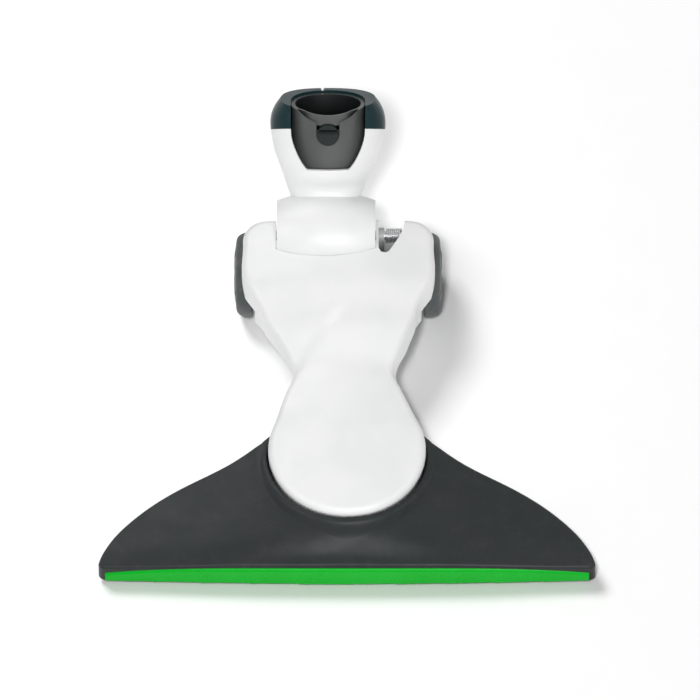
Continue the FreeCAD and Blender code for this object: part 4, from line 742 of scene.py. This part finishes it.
class FH_OT_wheels(bpy.types.Operator):
    """Turn the crowned tread and the dished, ribbed hub of both rear wheels."""
    bl_idname = "floorhead.wheels"
    bl_label = "Wheels"

    def execute(self, context):
        sizes = context.scene.floorhead_sizes
        colours = context.scene.floorhead_colours
        for side, way in (("left", -1), ("right", 1)):
            low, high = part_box("wheel_tyre_" + side)
            middle = (low + high) / 2
            inner = high.x if way < 0 else low.x
            centre = Vector((inner, middle.y, middle.z))
            radius = (high.z - low.z) / 2
            wide = high.x - low.x
            tread = self.tread(side, centre, way, radius, wide, sizes.crown)
            tread = settle(tread, "wheel_" + side, "crowned_tread_" + side,
                           finish_for("wheel_rubber", colours), 30.0)
            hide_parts("wheel_tyre_" + side)
            hub_low, hub_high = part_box("wheel_hub_" + side)
            reach = (hub_high.x - inner) if way > 0 else (inner - hub_low.x)
            hub = self.hub(side, centre, way, radius - sizes.crown, wide, reach, sizes.ribs)
            hub = settle(hub, "wheel_" + side, "dished_hub_" + side,
                         finish_for("wheel_plastic", colours), 30.0)
            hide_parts("wheel_hub_" + side)
        return {"FINISHED"}

    def tread(self, side, centre, way, radius, wide, crown):
        """Soft tread whose running face falls away in an arc towards the outer side."""
        rim = radius - crown - TREAD_THIN
        profile = [(0.0, rim), (0.0, radius - 0.0013), (0.0004, radius - 0.0005),
                   (0.0012, radius)]
        start, finish = wide * 0.26, wide - 0.0002
        for step in range(13):
            share = step / 12
            out = start + (finish - start) * math.sin(share * math.pi / 2)
            drop = crown * (1 - math.cos(share * math.pi / 2))
            profile.append((out, radius - drop))
        profile += [(wide, rim + 0.0003), (wide - 0.0004, rim)]
        return turned_piece("tread_" + side, centre, way, profile)

    def hub(self, side, centre, way, radius, wide, reach, ribs):
        """Domed hub with a groove round its rim and shallow radial ribs."""
        edge = radius - TREAD_THIN - HUB_PLAY
        profile = [(0.0005, 0.0061), (0.0005, edge - 0.0035), (0.0005, edge),
                   (wide - 0.0006, edge), (wide - 0.0001, edge - 0.0006),
                   (wide - 0.0001, edge - 0.0011), (wide + 0.0002, edge - 0.0015)]
        last = edge - 0.0015
        for step in range(1, 6):
            share = step / 5
            radius_now = last + (0.0112 - last) * share
            profile.append((wide + 0.0002 + (reach - 0.0002 - wide) * math.sin(
                share * math.pi / 2), radius_now))
        profile += [(reach, 0.0086), (reach - 0.0012, 0.0083), (reach - 0.0012, 0.0061)]
        hub = turned_piece("hub_" + side, centre, way, profile)
        pick(hub, want_face=lambda f: self.between_ribs(f, centre, way, wide, ribs))
        bpy.ops.mesh.inset(thickness=0.0003, depth=-0.00045, use_select_inset=False)
        bpy.ops.object.mode_set(mode="OBJECT")
        return hub

    def between_ribs(self, face, centre, way, wide, ribs):
        """Whether a face of the dish lies in one of the sunk fields between the ribs."""
        across = face.center - centre
        if across.x * way < wide or face.normal.x * way < 0.6:
            return False
        around = math.hypot(across.y, across.z)
        turn = (math.degrees(math.atan2(across.z, across.y)) + 360) % (360 / ribs)
        return 0.0118 < around < 0.0185 and 7 < turn < 360 / ribs - 7


class FH_OT_stage(bpy.types.Operator):
    """Set the pale floor, the soft lamps and the camera."""
    bl_idname = "floorhead.stage"
    bl_label = "Stage"

    def execute(self, context):
        stage = context.scene.floorhead_stage
        scene = context.scene
        clear_selection()
        bpy.ops.mesh.primitive_grid_add(x_subdivisions=8, y_subdivisions=8, size=14.0,
                                        location=(0, 2.0, 0))
        floor = context.object
        floor.name = "Floor"
        bpy.ops.object.transform_apply(location=True, rotation=True, scale=True)
        floor.data.materials.append(self.floor_finish(stage.floor))
        self.set_world(scene)
        for name, way, away, spread, power, floor_state in LAMPS:
            lamp = self.add_lamp(name, way, away, spread, power)
            self.aim_at(lamp, floor, floor_state)
        self.add_camera(scene, stage)
        scene.view_settings.view_transform = "Standard"
        return {"FINISHED"}

    def floor_finish(self, colour):
        """Matt paper floor, lifted to white away from the head and clear from below."""
        material = bpy.data.materials.new("Studio floor")
        material.use_nodes = True
        tree = material.node_tree
        shader = tree.nodes["Principled BSDF"]
        output = tree.nodes["Material Output"]
        vector = tree.nodes.new("ShaderNodeTexCoord").outputs["Object"]
        fleck = noise(tree, vector, 40.0, 3.0)
        tone = blend_colours(tree, stretch(tree, fleck, 0.3, 0.7), tuple(colour),
                             tuple(c * 0.992 for c in colour))
        tree.links.new(tone, shader.inputs["Base Color"])
        shader.inputs["Roughness"].default_value = 0.9
        shader.inputs["Specular IOR Level"].default_value = 0.1
        glow = tree.nodes.new("ShaderNodeEmission")
        reach = tree.nodes.new("ShaderNodeVectorMath")
        reach.operation = "LENGTH"
        tree.links.new(vector, reach.inputs[0])
        lift = stretch(tree, reach.outputs["Value"], 0.30, 1.60, 0.03, 1.0)
        path = tree.nodes.new("ShaderNodeLightPath")
        tree.links.new(maths(tree, "MULTIPLY", seeing_rays(tree, path), lift),
                       glow.inputs["Strength"])
        both = tree.nodes.new("ShaderNodeAddShader")
        tree.links.new(shader.outputs["BSDF"], both.inputs[0])
        tree.links.new(glow.outputs["Emission"], both.inputs[1])
        under = tree.nodes.new("ShaderNodeMixShader")
        side = tree.nodes.new("ShaderNodeNewGeometry")
        passed = maths(tree, "MAXIMUM", side.outputs["Backfacing"], path.outputs["Is Shadow Ray"])
        tree.links.new(passed, under.inputs["Fac"])
        tree.links.new(both.outputs["Shader"], under.inputs[1])
        clear = tree.nodes.new("ShaderNodeBsdfTransparent")
        tree.links.new(clear.outputs["BSDF"], under.inputs[2])
        tree.links.new(under.outputs["Shader"], output.inputs["Surface"])
        return material

    def set_world(self, scene):
        """Even pale light from all round; white where the camera sees past the floor."""
        world = bpy.data.worlds.new("Studio")
        world.use_nodes = True
        tree = world.node_tree
        background = tree.nodes["Background"]
        background.inputs["Color"].default_value = (1.0, 1.0, 1.0, 1.0)
        path = tree.nodes.new("ShaderNodeLightPath")
        level = maths(tree, "MULTIPLY_ADD", seeing_rays(tree, path), 1.0 - WORLD_BASE,
                      WORLD_BASE)
        tree.links.new(level, background.inputs["Strength"])
        scene.world = world

    def add_lamp(self, name, way, away, spread, power):
        """Rectangular soft lamp on a line from the head, aimed at its middle."""
        light = bpy.data.lights.new(name, "AREA")
        light.shape = "RECTANGLE"
        light.size = spread[0]
        light.size_y = spread[1]
        light.energy = power
        lamp = bpy.data.objects.new(name, light)
        bpy.context.scene.collection.objects.link(lamp)
        lamp.location = Vector((0.0, 0.0, 0.03)) + Vector(way).normalized() * away
        lamp.rotation_euler = Vector(way).to_track_quat("Z", "Y").to_euler()
        return lamp

    def aim_at(self, lamp, floor, state):
        """Let a lamp light only the floor, or everything but the floor."""
        group = bpy.data.collections.new(lamp.name + " receivers")
        group.objects.link(floor)
        group.collection_objects[0].light_linking.link_state = state
        lamp.light_linking.receiver_collection = group

    def add_camera(self, scene, stage):
        """Long lens that looks down on the head from the front."""
        camera = bpy.data.cameras.new("Camera")
        holder = bpy.data.objects.new("Camera", camera)
        scene.collection.objects.link(holder)
        rise = stage.elevation
        aim = Vector(stage.aim)
        holder.location = aim + Vector((0, -math.cos(rise), math.sin(rise))) * stage.away
        holder.rotation_euler = (math.pi / 2 - rise, 0, 0)
        camera.sensor_width = SENSOR_WIDTH
        camera.lens = SENSOR_WIDTH * stage.away / stage.span
        camera.clip_end = 60.0
        scene.camera = holder


class FH_PT_panel(bpy.types.Panel):
    """Lists the steps in the order they are run."""
    bl_idname = "FH_PT_panel"
    bl_label = "Floor Head"
    bl_space_type = "VIEW_3D"
    bl_region_type = "UI"
    bl_category = "Floor Head"

    def draw(self, context):
        column = self.layout.column()
        for step in STEPS:
            column.operator(step.bl_idname)
        for group in (context.scene.floorhead_colours, context.scene.floorhead_sizes,
                      context.scene.floorhead_stage):
            box = self.layout.box()
            for name in group.__annotations__:
                box.prop(group, name)


STEPS = (FH_OT_finishes, FH_OT_pile, FH_OT_spring, FH_OT_wheels, FH_OT_stage)
GROUPS = (FH_Colours, FH_Sizes, FH_Stage)


def register():
    for kind in GROUPS + STEPS + (FH_PT_panel,):
        bpy.utils.register_class(kind)
    bpy.types.Scene.floorhead_colours = bpy.props.PointerProperty(type=FH_Colours)
    bpy.types.Scene.floorhead_sizes = bpy.props.PointerProperty(type=FH_Sizes)
    bpy.types.Scene.floorhead_stage = bpy.props.PointerProperty(type=FH_Stage)


def unregister():
    del bpy.types.Scene.floorhead_stage
    del bpy.types.Scene.floorhead_sizes
    del bpy.types.Scene.floorhead_colours
    for kind in reversed(GROUPS + STEPS + (FH_PT_panel,)):
        bpy.utils.unregister_class(kind)


def main():
    register()
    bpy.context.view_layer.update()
    bpy.ops.floorhead.finishes()
    bpy.ops.floorhead.pile_strips()
    bpy.ops.floorhead.tilt_spring()
    bpy.ops.floorhead.wheels()
    bpy.ops.floorhead.stage()


if __name__ == "__main__":
    main()
